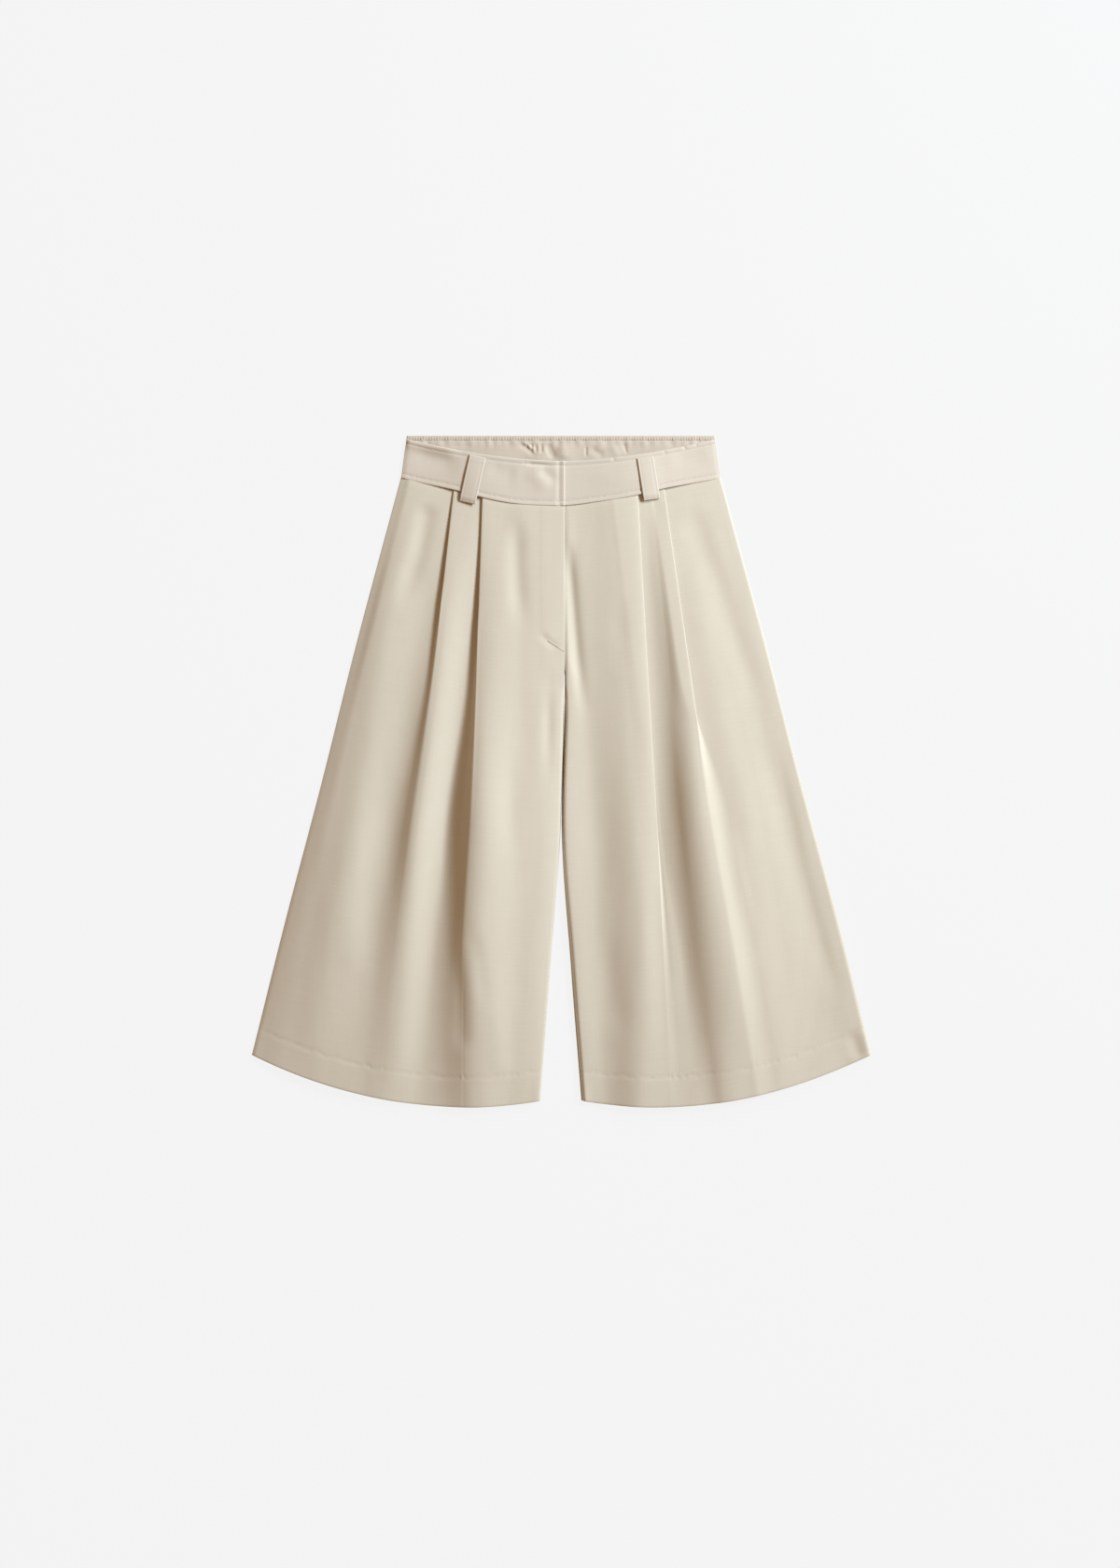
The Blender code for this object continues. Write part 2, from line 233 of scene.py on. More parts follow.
def ease(share: Numbers) -> np.ndarray:
    """0 to 1 with level ends, for a place that is held between 0 and 1."""
    held = np.clip(share, 0.0, 1.0)
    return held * held * (3 - 2 * held)


def bell(distance: np.ndarray, width: Numbers) -> np.ndarray:
    """1 at no distance, falling away softly to both sides within about the width."""
    return np.exp(-((distance / width) ** 2))


def hermite(
    start: Numbers, end: Numbers, rise_start: Numbers, rise_end: Numbers, run: Numbers, share: Numbers
) -> np.ndarray:
    """The cubic between two values with given slopes.

    Args:
        start: the value at share 0.
        end: the value at share 1.
        rise_start: the slope at share 0.
        rise_end: the slope at share 1.
        run: the distance between the two.
        share: the place, from 0 to 1.

    Returns:
        The value there.
    """
    squared = share * share
    cubed = squared * share
    level = start * (2 * cubed - 3 * squared + 1) + end * (3 * squared - 2 * cubed)
    return level + run * rise_start * (cubed - 2 * squared + share) + run * rise_end * (cubed - squared)


def through(places: Sequence[float], values: Sequence[float], at: np.ndarray) -> np.ndarray:
    """Values on the smooth curve through a table's row, which never overshoots them.

    Args:
        places: where the row gives its values.
        values: the row's values.
        at: where the values are wanted.

    Returns:
        The value at each place.
    """
    knots, heights = np.asarray(places, float), np.asarray(values, float)
    rises = np.diff(heights) / np.maximum(np.diff(knots), 1e-6)
    before, after = rises[:-1], rises[1:]
    total = np.where(np.abs(before + after) < 1e-12, 1.0, before + after)
    inner = np.where(before * after > 0, 2 * before * after / total, 0.0)
    slopes = np.concatenate((rises[:1], inner, rises[-1:]))
    held = np.clip(np.asarray(at, float), knots[0], knots[-1])
    i = np.clip(np.searchsorted(knots, held, side="right") - 1, 0, len(knots) - 2)
    run = knots[i + 1] - knots[i]
    share = (held - knots[i]) / run
    return hermite(heights[i], heights[i + 1], slopes[i], slopes[i + 1], run, share)


def smooth_path(path: Sequence[tuple[float, float]], steps: int) -> np.ndarray:
    """A given line as closely spaced points on a smooth curve through its own points.

    Args:
        path: the line's points.
        steps: how many stretches the result has.

    Returns:
        The points, one row each.
    """
    points = np.asarray(path, float)
    lengths = np.linalg.norm(np.diff(points, axis=0), axis=1)
    places = np.concatenate(([0.0], np.cumsum(lengths)))
    at = np.linspace(0.0, places[-1], steps + 1)
    columns = [through(places, points[:, axis], at) for axis in range(points.shape[1])]
    return np.stack(columns, axis=1)


def waist_seam(across: np.ndarray) -> np.ndarray:
    """How far along the waist seam lies: highest at the sides, lowest in the middle."""
    share = np.minimum(np.abs(across) / WAIST_HALF, 1.0)
    return WAIST_SIDE - WAIST_DIP * (1 - share**WAIST_ROUNDNESS)


# Across, and how much higher than the even curve the front's waist seam lies there, in mm
SEAM_RISES = {
    Side.RIGHT: (
        (-9, 0.3), (0, 0.3), (14, 0.0), (36, -1.2), (52, -1.4), (74, -0.6), (95, 1.4), (112, 2.3),
        (128, 2.0), (143, 1.6), (157, 1.4),
    ),
    Side.LEFT: (
        (-9, 0.3), (0, 0.3), (17, 0.9), (32, 1.8), (47, 2.0), (62, 2.2), (72, 2.4), (88, 3.4),
        (106, 4.4), (115, 4.1), (123, 3.8), (138, 3.0), (146, 2.2), (154, 1.4),
    ),
}
SEAM_ROUNDING = np.linspace(-6.0, 6.0, 7)  # the places round each one that its rise is a mean of


def front_seam(side: Side, across: np.ndarray) -> np.ndarray:
    """How far along the front's waist seam lies as sewn: the even curve with its rises.

    Args:
        side: the wearer's side.
        across: distances from the middle line, in mm.

    Returns:
        The seam's place at each of them, in mm.
    """
    places, rises = zip(*SEAM_RISES[side])
    rounded_rises = sum(np.interp(across + step, places, rises) for step in SEAM_ROUNDING)
    return waist_seam(across) + rounded_rises / len(SEAM_ROUNDING)


def front_rim(across: np.ndarray) -> np.ndarray:
    """How far along the front waistband's top edge lies."""
    share = np.minimum(np.abs(across) / RIM_HALF, 1.0)
    return RIM_SIDE - RIM_DIP * (1 - share**RIM_ROUNDNESS)


def hem(across: np.ndarray) -> np.ndarray:
    """How far along the hem lies: each leg's hem is a shallow arc."""
    return HEM_LOWEST + (across - HEM_LOWEST_ACROSS) ** 2 / (2 * HEM_RADIUS)


@dataclass(frozen=True)
class Unevenness:
    """The slight waves that any laid cloth keeps, from a fixed draw of long crossing swells."""

    seed: int
    height: float
    swells: int = 14
    narrowest: float = 16.0
    widest: float = 70.0
    shortest: float = 140.0
    longest: float = 520.0

    def lift(self, x: np.ndarray, y: np.ndarray) -> np.ndarray:
        """How far the swells lift the cloth.

        Args:
            x: places across, in mm.
            y: places along, in mm, of the same shape.

        Returns:
            The lift at each place, in mm.
        """
        draw = np.random.default_rng(self.seed)
        total = np.zeros(x.shape)
        for _ in range(self.swells):
            across = draw.uniform(self.narrowest, self.widest)
            along = draw.uniform(self.shortest, self.longest) * draw.choice((-1, 1))
            phase = draw.uniform(0.0, 2 * math.pi)
            total += np.sin(2 * math.pi * (x / across + y / along) + phase) * across / self.widest
        return self.height * total / math.sqrt(self.swells)


@dataclass(frozen=True)
class PuckerRow:
    """Small dimples where thread draws the cloth in, in a row of uneven spacing, in mm.

    weakest is the least share of the depth, spacing the least and most shares of the pitch, and
    flatness how much shorter the dimples are across the row than along it.
    """

    pitch: float
    depth: float
    reach: float
    seed: int
    weakest: float = 0.35
    spacing: tuple[float, float] = (0.6, 1.5)
    flatness: float = 1.3

    def lift(self, along_row: np.ndarray, off_row: np.ndarray) -> np.ndarray:
        """How far the dimples sink the cloth.

        Args:
            along_row: distance along the row, in mm.
            off_row: distance from the row, in mm.

        Returns:
            The lift, at most 0, in mm.
        """
        draw = np.random.default_rng(self.seed)
        centres = []
        place, end = float(along_row.min()), float(along_row.max())
        while place < end:
            centres.append((place, draw.uniform(self.weakest, 1.0)))
            place += self.pitch * draw.uniform(*self.spacing)
        sunk = np.zeros(along_row.shape)
        near = np.abs(off_row) < 3 * self.reach
        for centre, strength in centres:
            away = np.hypot(along_row[near] - centre, off_row[near] * self.flatness)
            sunk[near] -= self.depth * strength * bell(away, self.reach)
        return sunk


@dataclass(frozen=True)
class StitchLine:
    """The groove that a row of stitches draws, and the fuller cloth of the welt beside it, in mm."""

    groove: float
    width: float
    welt: float
    welt_run: float

    def lift(self, off: np.ndarray) -> np.ndarray:
        """The cloth's lift at a distance from the line, which is below 0 on the welt's side."""
        return self.welt * ease(-off / self.welt_run) - self.groove * bell(off, self.width)


RIM_STITCHED = StitchLine(groove=0.32, width=1.0, welt=0.16, welt_run=1.8)
SEAM_STITCHED = StitchLine(groove=0.20, width=1.2, welt=0.10, welt_run=2.6)
LAP_STITCHED = StitchLine(groove=0.75, width=2.0, welt=0.08, welt_run=1.6)
HEM_STITCHED = StitchLine(groove=0.05, width=1.5, welt=0.05, welt_run=6.0)


# ---------------------------------------------------------------------------- cloth meshes


def surface_normals(points: np.ndarray) -> np.ndarray:
    """Unit normals of a grid of points.

    Args:
        points: the grid, shaped (rows, columns, 3).

    Returns:
        The normals, shaped alike.
    """
    down = np.gradient(points, axis=0)
    across = np.gradient(points, axis=1)
    normals = np.cross(across, down)
    lengths = np.linalg.norm(normals, axis=2, keepdims=True)
    return normals / np.maximum(lengths, 1e-12)


class ClothShell:
    """A closed thin shell round a grid of points, with rounded edges and a map of its weave."""

    EDGE_BULGE = 0.42  # how far the rounded edge stands out, as a share of the thickness

    def __init__(self, middle: np.ndarray, thickness: float | np.ndarray, anchor: int = 0) -> None:
        """Works the shell out.

        Args:
            middle: the cloth's middle, shaped (rows, columns, 3), in mm.
            thickness: its thickness in mm, one number or one for each point.
            anchor: the column that the weave is straight along.
        """
        self.middle = middle
        normals = surface_normals(middle)
        if normals[: len(middle) // 2, :, 2].sum() < 0:
            normals = -normals
        self.normals = normals
        thick = np.broadcast_to(np.asarray(thickness, float), middle.shape[:2])
        self.half = thick[..., None] / 2
        self.anchor = anchor
        self.raised = np.zeros(middle.shape[:2])

    def raise_top(self, lift: np.ndarray) -> None:
        """Moves the outer side by a lift in mm, leaving the inner side where it is."""
        self.raised = self.raised + lift

    def weave_map(self) -> np.ndarray:
        """The cloth's own map, with the twill's lines going the same way on every piece.

        Returns:
            Distances over the cloth in metres, shaped (rows, columns, 2).
        """
        steps_across = np.linalg.norm(np.diff(self.middle, axis=1), axis=2)
        steps_down = np.linalg.norm(np.diff(self.middle, axis=0), axis=2)
        across = np.pad(np.cumsum(steps_across, axis=1), ((0, 0), (1, 0)))
        down = np.pad(np.cumsum(steps_down, axis=0), ((1, 0), (0, 0)))
        across = across - across[:, self.anchor : self.anchor + 1]
        mirrored = -np.sign(self.middle[0, -1, 0] - self.middle[0, 0, 0])
        return np.stack((mirrored * across, -down), axis=2) * MM

    def border(self) -> list[tuple[int, int]]:
        """The grid's edge points, once round.

        Returns:
            Their rows and columns, in order.
        """
        rows, columns = self.middle.shape[:2]
        top = [(0, c) for c in range(columns)]
        far = [(r, columns - 1) for r in range(1, rows)]
        bottom = [(rows - 1, c) for c in range(columns - 2, -1, -1)]
        near = [(r, 0) for r in range(rows - 2, 0, -1)]
        return top + far + bottom + near

    def edge_points(self, border: list[tuple[int, int]]) -> np.ndarray:
        """Points just outside the grid's edge, which round the shell off.

        Args:
            border: the edge's rows and columns, once round.

        Returns:
            One point for each, in mm.
        """
        rows, columns = self.middle.shape[:2]
        made = []
        for r, c in border:
            inner_r = 1 if r == 0 else rows - 2 if r == rows - 1 else r
            inner_c = 1 if c == 0 else columns - 2 if c == columns - 1 else c
            outward = np.zeros(3)
            for near in {(inner_r, c), (r, inner_c)} - {(r, c)}:
                step = self.middle[r, c] - self.middle[near]
                outward += step / max(np.linalg.norm(step), 1e-9)
            outward /= max(np.linalg.norm(outward), 1e-9)
            half = self.half[r, c, 0]
            shift = self.normals[r, c] * self.raised[r, c] / 2
            made.append(self.middle[r, c] + shift + outward * half * 2 * self.EDGE_BULGE)
        return np.array(made)

    def build(self, name: str) -> bpy.types.Object:
        """Makes the shell's object.

        Args:
            name: the piece's name.

        Returns:
            The object, at the origin, with its place in its mesh.
        """
        rows, columns = self.middle.shape[:2]
        outer = self.middle + self.normals * (self.half + self.raised[..., None])
        inner = self.middle - self.normals * self.half
        border = self.border()
        points = np.concatenate((outer.reshape(-1, 3), inner.reshape(-1, 3), self.edge_points(border)))
        count = rows * columns
        index = np.arange(count).reshape(rows, columns)
        a, b = index[:-1, :-1].ravel(), index[1:, :-1].ravel()
        c, d = index[1:, 1:].ravel(), index[:-1, 1:].ravel()
        outer_faces = np.stack((a, b, c, d), axis=1)
        inner_faces = np.stack((a, d, c, b), axis=1) + count
        rim = np.array([r * columns + c for r, c in border])
        following = np.roll(rim, -1)
        edge = 2 * count + np.arange(len(border))
        edge_following = np.roll(edge, -1)
        upper = np.stack((rim, following, edge_following, edge), axis=1)
        lower = np.stack((edge, edge_following, following + count, rim + count), axis=1)
        faces = np.concatenate((outer_faces, inner_faces, upper, lower))
        first = points[outer_faces[len(outer_faces) // 3]]
        facing = np.cross(first[1] - first[0], first[2] - first[0])
        wanted = self.normals.reshape(-1, 3)[outer_faces[len(outer_faces) // 3][0]]
        if facing @ wanted < 0:
            faces = faces[:, ::-1]
        mesh = bpy.data.meshes.new(name)
        mesh.from_pydata((points * MM).tolist(), [], faces.tolist())
        flat_map = self.weave_map().reshape(-1, 2)
        coords = np.concatenate((flat_map, flat_map, flat_map[rim]))
        layer = mesh.uv_layers.new(name=UV_NAME)
        loops = np.empty(len(mesh.loops), np.int32)
        mesh.loops.foreach_get("vertex_index", loops)
        layer.data.foreach_set("uv", coords[loops].astype(np.float32).ravel())
        mesh.shade_smooth()
        mesh.update()
        made = bpy.data.objects.new(name, mesh)
        bpy.context.scene.collection.objects.link(made)
        return made


# ---------------------------------------------------------------------------- finishes


class Board:
    """Adds nodes to a node tree and joins them, for materials and for geometry alike."""

    def __init__(self, tree: bpy.types.NodeTree) -> None:
        """Works on the given tree."""
        self.tree = tree

    def add(self, kind: str, settings: dict | None = None, **inputs: object) -> bpy.types.Node:
        """Adds a node.

        Args:
            kind: the node's Blender type.
            settings: properties of the node to set.
            **inputs: values or sockets for its inputs, by name with _ for a space.

        Returns:
            The node.
        """
        node = self.tree.nodes.new(kind)
        for key, value in (settings or {}).items():
            setattr(node, key, value)
        for key, value in inputs.items():
            self.feed(node.inputs[key.replace("_", " ")], value)
        return node

    def feed(self, socket: bpy.types.NodeSocket, value: object) -> None:
        """Joins a socket to the input, or sets the input's own value."""
        if isinstance(value, bpy.types.NodeSocket):
            self.tree.links.new(value, socket)
        else:
            socket.default_value = value

    def math(self, operation: str, first: object, second: object = 0.0) -> bpy.types.NodeSocket:
        """Adds one step of arithmetic.

        Args:
            operation: the step's Blender name.
            first: a number or a socket.
            second: another, where the step takes two.

        Returns:
            The result's socket.
        """
        node = self.add("ShaderNodeMath", {"operation": operation})
        self.feed(node.inputs[0], first)
        self.feed(node.inputs[1], second)
        return node.outputs[0]

    def blend(
        self, share: bpy.types.NodeSocket, first: Sequence[float], last: Sequence[float]
    ) -> bpy.types.NodeSocket:
        """Adds a blend of two colours.

        Args:
            share: how much of the last colour there is.
            first: the colour at share 0.
            last: the colour at share 1.

        Returns:
            The blended colour's socket.
        """
        node = self.add("ShaderNodeMix", {"data_type": "RGBA"}, Factor=share)
        ends = [socket for socket in node.inputs if socket.type == "RGBA"]
        for socket, colour in zip(ends, (first, last)):
            self.feed(socket, (*colour, 1.0))
        return next(socket for socket in node.outputs if socket.type == "RGBA")


def twill_group() -> bpy.types.NodeTree:
    """A fine twill: warp and weft threads under a diagonal rib.

    Returns:
        A shader node group with Map and Thread inputs, and Height and Tone outputs.
    """
    tree = bpy.data.node_groups.new("twill_weave", "ShaderNodeTree")
    tree.interface.new_socket("Map", in_out="INPUT", socket_type="NodeSocketVector")
    thread = tree.interface.new_socket("Thread", in_out="INPUT", socket_type="NodeSocketFloat")
    thread.default_value = 0.0005
    tree.interface.new_socket("Height", in_out="OUTPUT", socket_type="NodeSocketFloat")
    tree.interface.new_socket("Tone", in_out="OUTPUT", socket_type="NodeSocketFloat")
    board = Board(tree)
    given = board.add("NodeGroupInput")
    result = board.add("NodeGroupOutput")
    split = board.add("ShaderNodeSeparateXYZ", Vector=given.outputs["Map"])
    turns = board.math("DIVIDE", 2 * math.pi, given.outputs["Thread"])
    warp = board.math("MULTIPLY", split.outputs["X"], turns)
    weft = board.math("MULTIPLY", split.outputs["Y"], turns)
    diagonal = board.math("MULTIPLY", board.math("ADD", warp, weft), 0.5)
    rib = board.math("MULTIPLY", board.math("SINE", diagonal), 0.5)
    threads = board.math("ADD", board.math("COSINE", warp), board.math("COSINE", weft))
    height = board.math("ADD", rib, board.math("MULTIPLY", threads, 0.2))
    board.feed(result.inputs["Height"], height)
    board.feed(result.inputs["Tone"], board.math("ADD", board.math("MULTIPLY", height, 0.5), 0.5))
    return tree


def yarn_group() -> bpy.types.NodeTree:
    """The slight unevenness of the yarns: long streaks both ways and a broad mottle.

    Returns:
        A shader node group with a Map input and a Tone output round 0.5.
    """
    tree = bpy.data.node_groups.new("yarn_streaks", "ShaderNodeTree")
    tree.interface.new_socket("Map", in_out="INPUT", socket_type="NodeSocketVector")
    tree.interface.new_socket("Tone", in_out="OUTPUT", socket_type="NodeSocketFloat")
    board = Board(tree)
    given = board.add("NodeGroupInput")
    result = board.add("NodeGroupOutput")
    layers = (
        ((900.0, 22.0, 1.0), 0.34),
        ((26.0, 800.0, 1.0), 0.38),
        ((60.0, 50.0, 1.0), 0.16),
        ((9.0, 7.0, 1.0), 0.12),
    )
    total: bpy.types.NodeSocket | float = 0.0
    for scale, share in layers:
        placed = board.add("ShaderNodeMapping", Vector=given.outputs["Map"], Scale=scale)
        noise = board.add("ShaderNodeTexNoise", Vector=placed.outputs["Vector"], Scale=1.0, Detail=2.0)
        part = board.math("MULTIPLY", noise.outputs["Fac"], share)
        total = board.math("ADD", part, total)
    board.feed(result.inputs["Tone"], total)
    return tree


@dataclass(frozen=True)
class ClothFinish:
    """A finish of woven cloth: its colours, thread, and how the light lies on it.

    The tone is the weave's by weave_share and the yarns' for the rest. The colour goes from dark to
    light as the tone goes from darkest to lightest.
    """

    name: str
    light: tuple[float, float, float]
    dark: tuple[float, float, float]
    thread: float = 0.00052
    relief: float = 0.00012
    relief_strength: float = 0.22
    weave_share: float = 0.16
    darkest: float = 0.3
    lightest: float = 0.7
    roughness: float = 0.82
    roughness_swing: float = 0.05
    specular: float = 0.25
    sheen: float = 0.10
    sheen_roughness: float = 0.45

    def material(self, twill: bpy.types.NodeTree, yarn: bpy.types.NodeTree) -> bpy.types.Material:
        """Makes the material.

        Args:
            twill: the weave's node group.
            yarn: the yarn streaks' node group.

        Returns:
            The material, which reads the piece's own weave map.
        """
        made = bpy.data.materials.new(self.name)
        made.use_nodes = True
        board = Board(made.node_tree)
        shader = made.node_tree.nodes["Principled BSDF"]
        mapped = board.add("ShaderNodeUVMap", {"uv_map": UV_NAME}).outputs["UV"]
        weave = board.add("ShaderNodeGroup", {"node_tree": twill}, Map=mapped, Thread=self.thread)
        streaks = board.add("ShaderNodeGroup", {"node_tree": yarn}, Map=mapped)
        fine = board.math("MULTIPLY", weave.outputs["Tone"], self.weave_share)
        broad = board.math("MULTIPLY", streaks.outputs["Tone"], 1 - self.weave_share)
        tone = board.math("ADD", fine, broad)
        share = board.add("ShaderNodeMapRange", Value=tone, From_Min=self.darkest, From_Max=self.lightest)
        colour = board.blend(share.outputs["Result"], self.dark, self.light)
        board.feed(shader.inputs["Base Color"], colour)
        rough = board.add(
            "ShaderNodeMapRange", Value=tone,
            To_Min=self.roughness + self.roughness_swing, To_Max=self.roughness - self.roughness_swing,
        )
        board.feed(shader.inputs["Roughness"], rough.outputs["Result"])
        bump = board.add(
            "ShaderNodeBump", Strength=self.relief_strength, Distance=self.relief,
            Height=weave.outputs["Height"],
        )
        board.feed(shader.inputs["Normal"], bump.outputs["Normal"])
        for name, value in (
            ("Sheen Weight", self.sheen),
            ("Sheen Roughness", self.sheen_roughness),
            ("Specular IOR Level", self.specular),
        ):
            shader.inputs[name].default_value = value
        return made


@dataclass(frozen=True)
class ThreadFinish:
    """A finish of sewing thread, with the twist of its plies as fine slanting lines.

    The lines go down to deep, a share of the colour.
    """

    name: str
    colour: tuple[float, float, float]
    deep: float = 0.86
    twist: float = 0.0011
    relief: float = 0.0001
    relief_strength: float = 0.3
    roughness: float = 0.6
    sheen: float = 0.2

    def material(self) -> bpy.types.Material:
        """Makes the material.

        Returns:
            The material, which reads Object coordinates.
        """
        made = bpy.data.materials.new(self.name)
        made.use_nodes = True
        board = Board(made.node_tree)
        shader = made.node_tree.nodes["Principled BSDF"]
        place = board.add("ShaderNodeTexCoord").outputs["Object"]
        split = board.add("ShaderNodeSeparateXYZ", Vector=place)
        slant = board.math("ADD", split.outputs["X"], split.outputs["Y"])
        plies = board.math("SINE", board.math("MULTIPLY", slant, 2 * math.pi / self.twist))
        share = board.math("ADD", board.math("MULTIPLY", plies, 0.5), 0.5)
        colour = board.blend(share, [self.deep * part for part in self.colour], self.colour)
        board.feed(shader.inputs["Base Color"], colour)
        bump = board.add(
            "ShaderNodeBump", Strength=self.relief_strength, Distance=self.relief, Height=share
        )
        board.feed(shader.inputs["Normal"], bump.outputs["Normal"])
        shader.inputs["Roughness"].default_value = self.roughness
        shader.inputs["Sheen Weight"].default_value = self.sheen
        return made


class Wardrobe:
    """The finishes of the garment, each made once."""

    def __init__(self) -> None:
        """Makes the shared node groups and the materials."""
        twill, yarn = twill_group(), yarn_group()
        self.panel = ClothFinish(
            "stone_twill", light=(0.629, 0.552, 0.446), dark=(0.576, 0.499, 0.394)
        ).material(twill, yarn)
        self.band = ClothFinish(
            "stone_twill_interfaced", light=(0.629, 0.545, 0.452), dark=(0.574, 0.492, 0.399)
        ).material(twill, yarn)
        self.inside = ClothFinish(
            "stone_twill_inside", light=(0.592, 0.500, 0.405), dark=(0.531, 0.443, 0.350), sheen=0.05
        ).material(twill, yarn)
        self.elastic = ClothFinish(
            "elastic_casing", light=(0.560, 0.472, 0.382), dark=(0.490, 0.407, 0.322), sheen=0.05
        ).material(twill, yarn)
        self.thread = ThreadFinish("stone_thread", (0.640, 0.560, 0.445)).material()


# ---------------------------------------------------------------------------- stitches and ribs


BEAD_SEGMENTS = 8
BEAD_RINGS = 5


def row_tree() -> bpy.types.NodeTree:
    """Small rounded bodies in a row along a path: stitches, tacks or ribs.

    Returns:
        A Geometry Nodes tree that takes a line of edges and sizes in metres.
    """
    tree = bpy.data.node_groups.new("row_along_path", "GeometryNodeTree")
    face = tree.interface
    face.new_socket("Path", in_out="INPUT", socket_type="NodeSocketGeometry")
    for name in ("Pitch", "Along", "Across", "Up", "Unevenness"):
        face.new_socket(name, in_out="INPUT", socket_type="NodeSocketFloat")
    face.new_socket("Seed", in_out="INPUT", socket_type="NodeSocketInt")
    face.new_socket("Finish", in_out="INPUT", socket_type="NodeSocketMaterial")
    face.new_socket("Row", in_out="OUTPUT", socket_type="NodeSocketGeometry")
    board = Board(tree)
    given = board.add("NodeGroupInput").outputs
    curve = board.add("GeometryNodeMeshToCurve", Mesh=given["Path"]).outputs["Curve"]
    points = board.add(
        "GeometryNodeResampleCurve", {"mode": "LENGTH"}, Curve=curve, Length=given["Pitch"]
    ).outputs["Curve"]
    tangent = board.add("GeometryNodeInputTangent").outputs["Tangent"]
    turn = board.add("FunctionNodeAlignRotationToVector", {"axis": "X"}, Vector=tangent)
    bead = board.add(
        "GeometryNodeMeshUVSphere", Segments=BEAD_SEGMENTS, Rings=BEAD_RINGS, Radius=0.5
    ).outputs["Mesh"]
    size = board.add("ShaderNodeCombineXYZ", X=given["Along"], Y=given["Across"], Z=given["Up"])
    body = board.add("GeometryNodeTransform", Geometry=bead, Scale=size.outputs["Vector"])
    low = board.math("SUBTRACT", 1.0, given["Unevenness"])
    high = board.math("ADD", 1.0, given["Unevenness"])
    draw = board.add("FunctionNodeRandomValue", {"data_type": "FLOAT"})
    floats = [socket for socket in draw.inputs if socket.type == "VALUE"]
    board.feed(floats[0], low)
    board.feed(floats[1], high)
    board.feed(draw.inputs["Seed"], given["Seed"])
    drawn = next(socket for socket in draw.outputs if socket.type == "VALUE")
    placed = board.add(
        "GeometryNodeInstanceOnPoints", Points=points, Instance=body.outputs["Geometry"],
        Rotation=turn.outputs["Rotation"], Scale=drawn,
    )
    real = board.add("GeometryNodeRealizeInstances", Geometry=placed.outputs["Instances"])
    soft = board.add("GeometryNodeSetShadeSmooth", Geometry=real.outputs["Geometry"])
    dressed = board.add(
        "GeometryNodeSetMaterial", Geometry=soft.outputs["Geometry"], Material=given["Finish"]
    )
    result = board.add("NodeGroupOutput")
    board.feed(result.inputs["Row"], dressed.outputs["Geometry"])
    return tree


@dataclass(frozen=True)
class RowSizes:
    """Sizes of what repeats in a row, in mm."""

    pitch: float
    along: float
    across: float
    up: float
    unevenness: float = 0.12
    seed: int = 3


TOPSTITCH = RowSizes(pitch=2.6, along=2.0, across=0.42, up=0.34)
BLIND_STITCH = RowSizes(pitch=6.4, along=1.5, across=0.36, up=0.26, unevenness=0.4, seed=8)
FLY_STITCH = RowSizes(pitch=2.6, along=2.0, across=0.34, up=0.22)
BAR_TACK = RowSizes(pitch=0.75, along=0.7, across=2.4, up=0.55, unevenness=0.08, seed=5)
ELASTIC_RIB = RowSizes(pitch=2.75, along=3.6, across=5.0, up=0.84, unevenness=0.07, seed=11)


class RowMaker:
    """Turns given paths into rows of stitches or ribs that lie on the cloth."""

    DROPPED_FROM = 0.2  # height that a path's points fall from, in metres

    def __init__(self) -> None:
        """Builds the tree that every row shares."""
        self.tree = row_tree()

    def settle(self, piece: bpy.types.Object, path: np.ndarray, lift: float) -> list[Vector]:
        """Drops a path's points onto a piece.

        Args:
            piece: the cloth below the path.
            path: points (x, y) in mm.
            lift: how far above the cloth the path runs, in mm.

        Returns:
            The points in metres, without those that miss the cloth.
        """
        settled = []
        for x, y in path[:, :2]:
            start = Vector((x * MM, y * MM, self.DROPPED_FROM))
            found, place, _, _ = piece.ray_cast(start, Vector((0, 0, -1)))
            if found:
                settled.append(place + Vector((0, 0, lift * MM)))
        return settled

    def rows(
        self, name: str, paths: Sequence[list[Vector]], sizes: RowSizes, finish: bpy.types.Material
    ) -> bpy.types.Object:
        """Makes one piece of one or several rows.

        Args:
            name: the piece's name.
            paths: each row's points, in metres.
            sizes: the sizes of what repeats.
            finish: its material.

        Returns:
            The piece, a plain mesh.
        """
        points, edges = [], []
        for path in paths:
            first = len(points)
            points.extend(path)
            edges.extend((i, i + 1) for i in range(first, len(points) - 1))
        guide = bpy.data.meshes.new(name + "_path")
        guide.from_pydata([tuple(point) for point in points], edges, [])
        source = bpy.data.objects.new(name + "_path", guide)
        bpy.context.scene.collection.objects.link(source)
        modifier = source.modifiers.new("row", "NODES")
        modifier.node_group = self.tree
        values = {
            "Pitch": sizes.pitch * MM, "Along": sizes.along * MM, "Across": sizes.across * MM,
            "Up": sizes.up * MM, "Unevenness": sizes.unevenness, "Seed": sizes.seed, "Finish": finish,
        }
        for item in self.tree.interface.items_tree:
            if item.item_type == "SOCKET" and item.in_out == "INPUT" and item.name in values:
                modifier[item.identifier] = values[item.name]
        graph = bpy.context.evaluated_depsgraph_get()
        mesh = bpy.data.meshes.new_from_object(source.evaluated_get(graph))
        mesh.name = name
        bpy.data.objects.remove(source, do_unlink=True)
        made = bpy.data.objects.new(name, mesh)
        if not mesh.materials:
            mesh.materials.append(finish)
        bpy.context.scene.collection.objects.link(made)
        return made


# ---------------------------------------------------------------------------- pieces


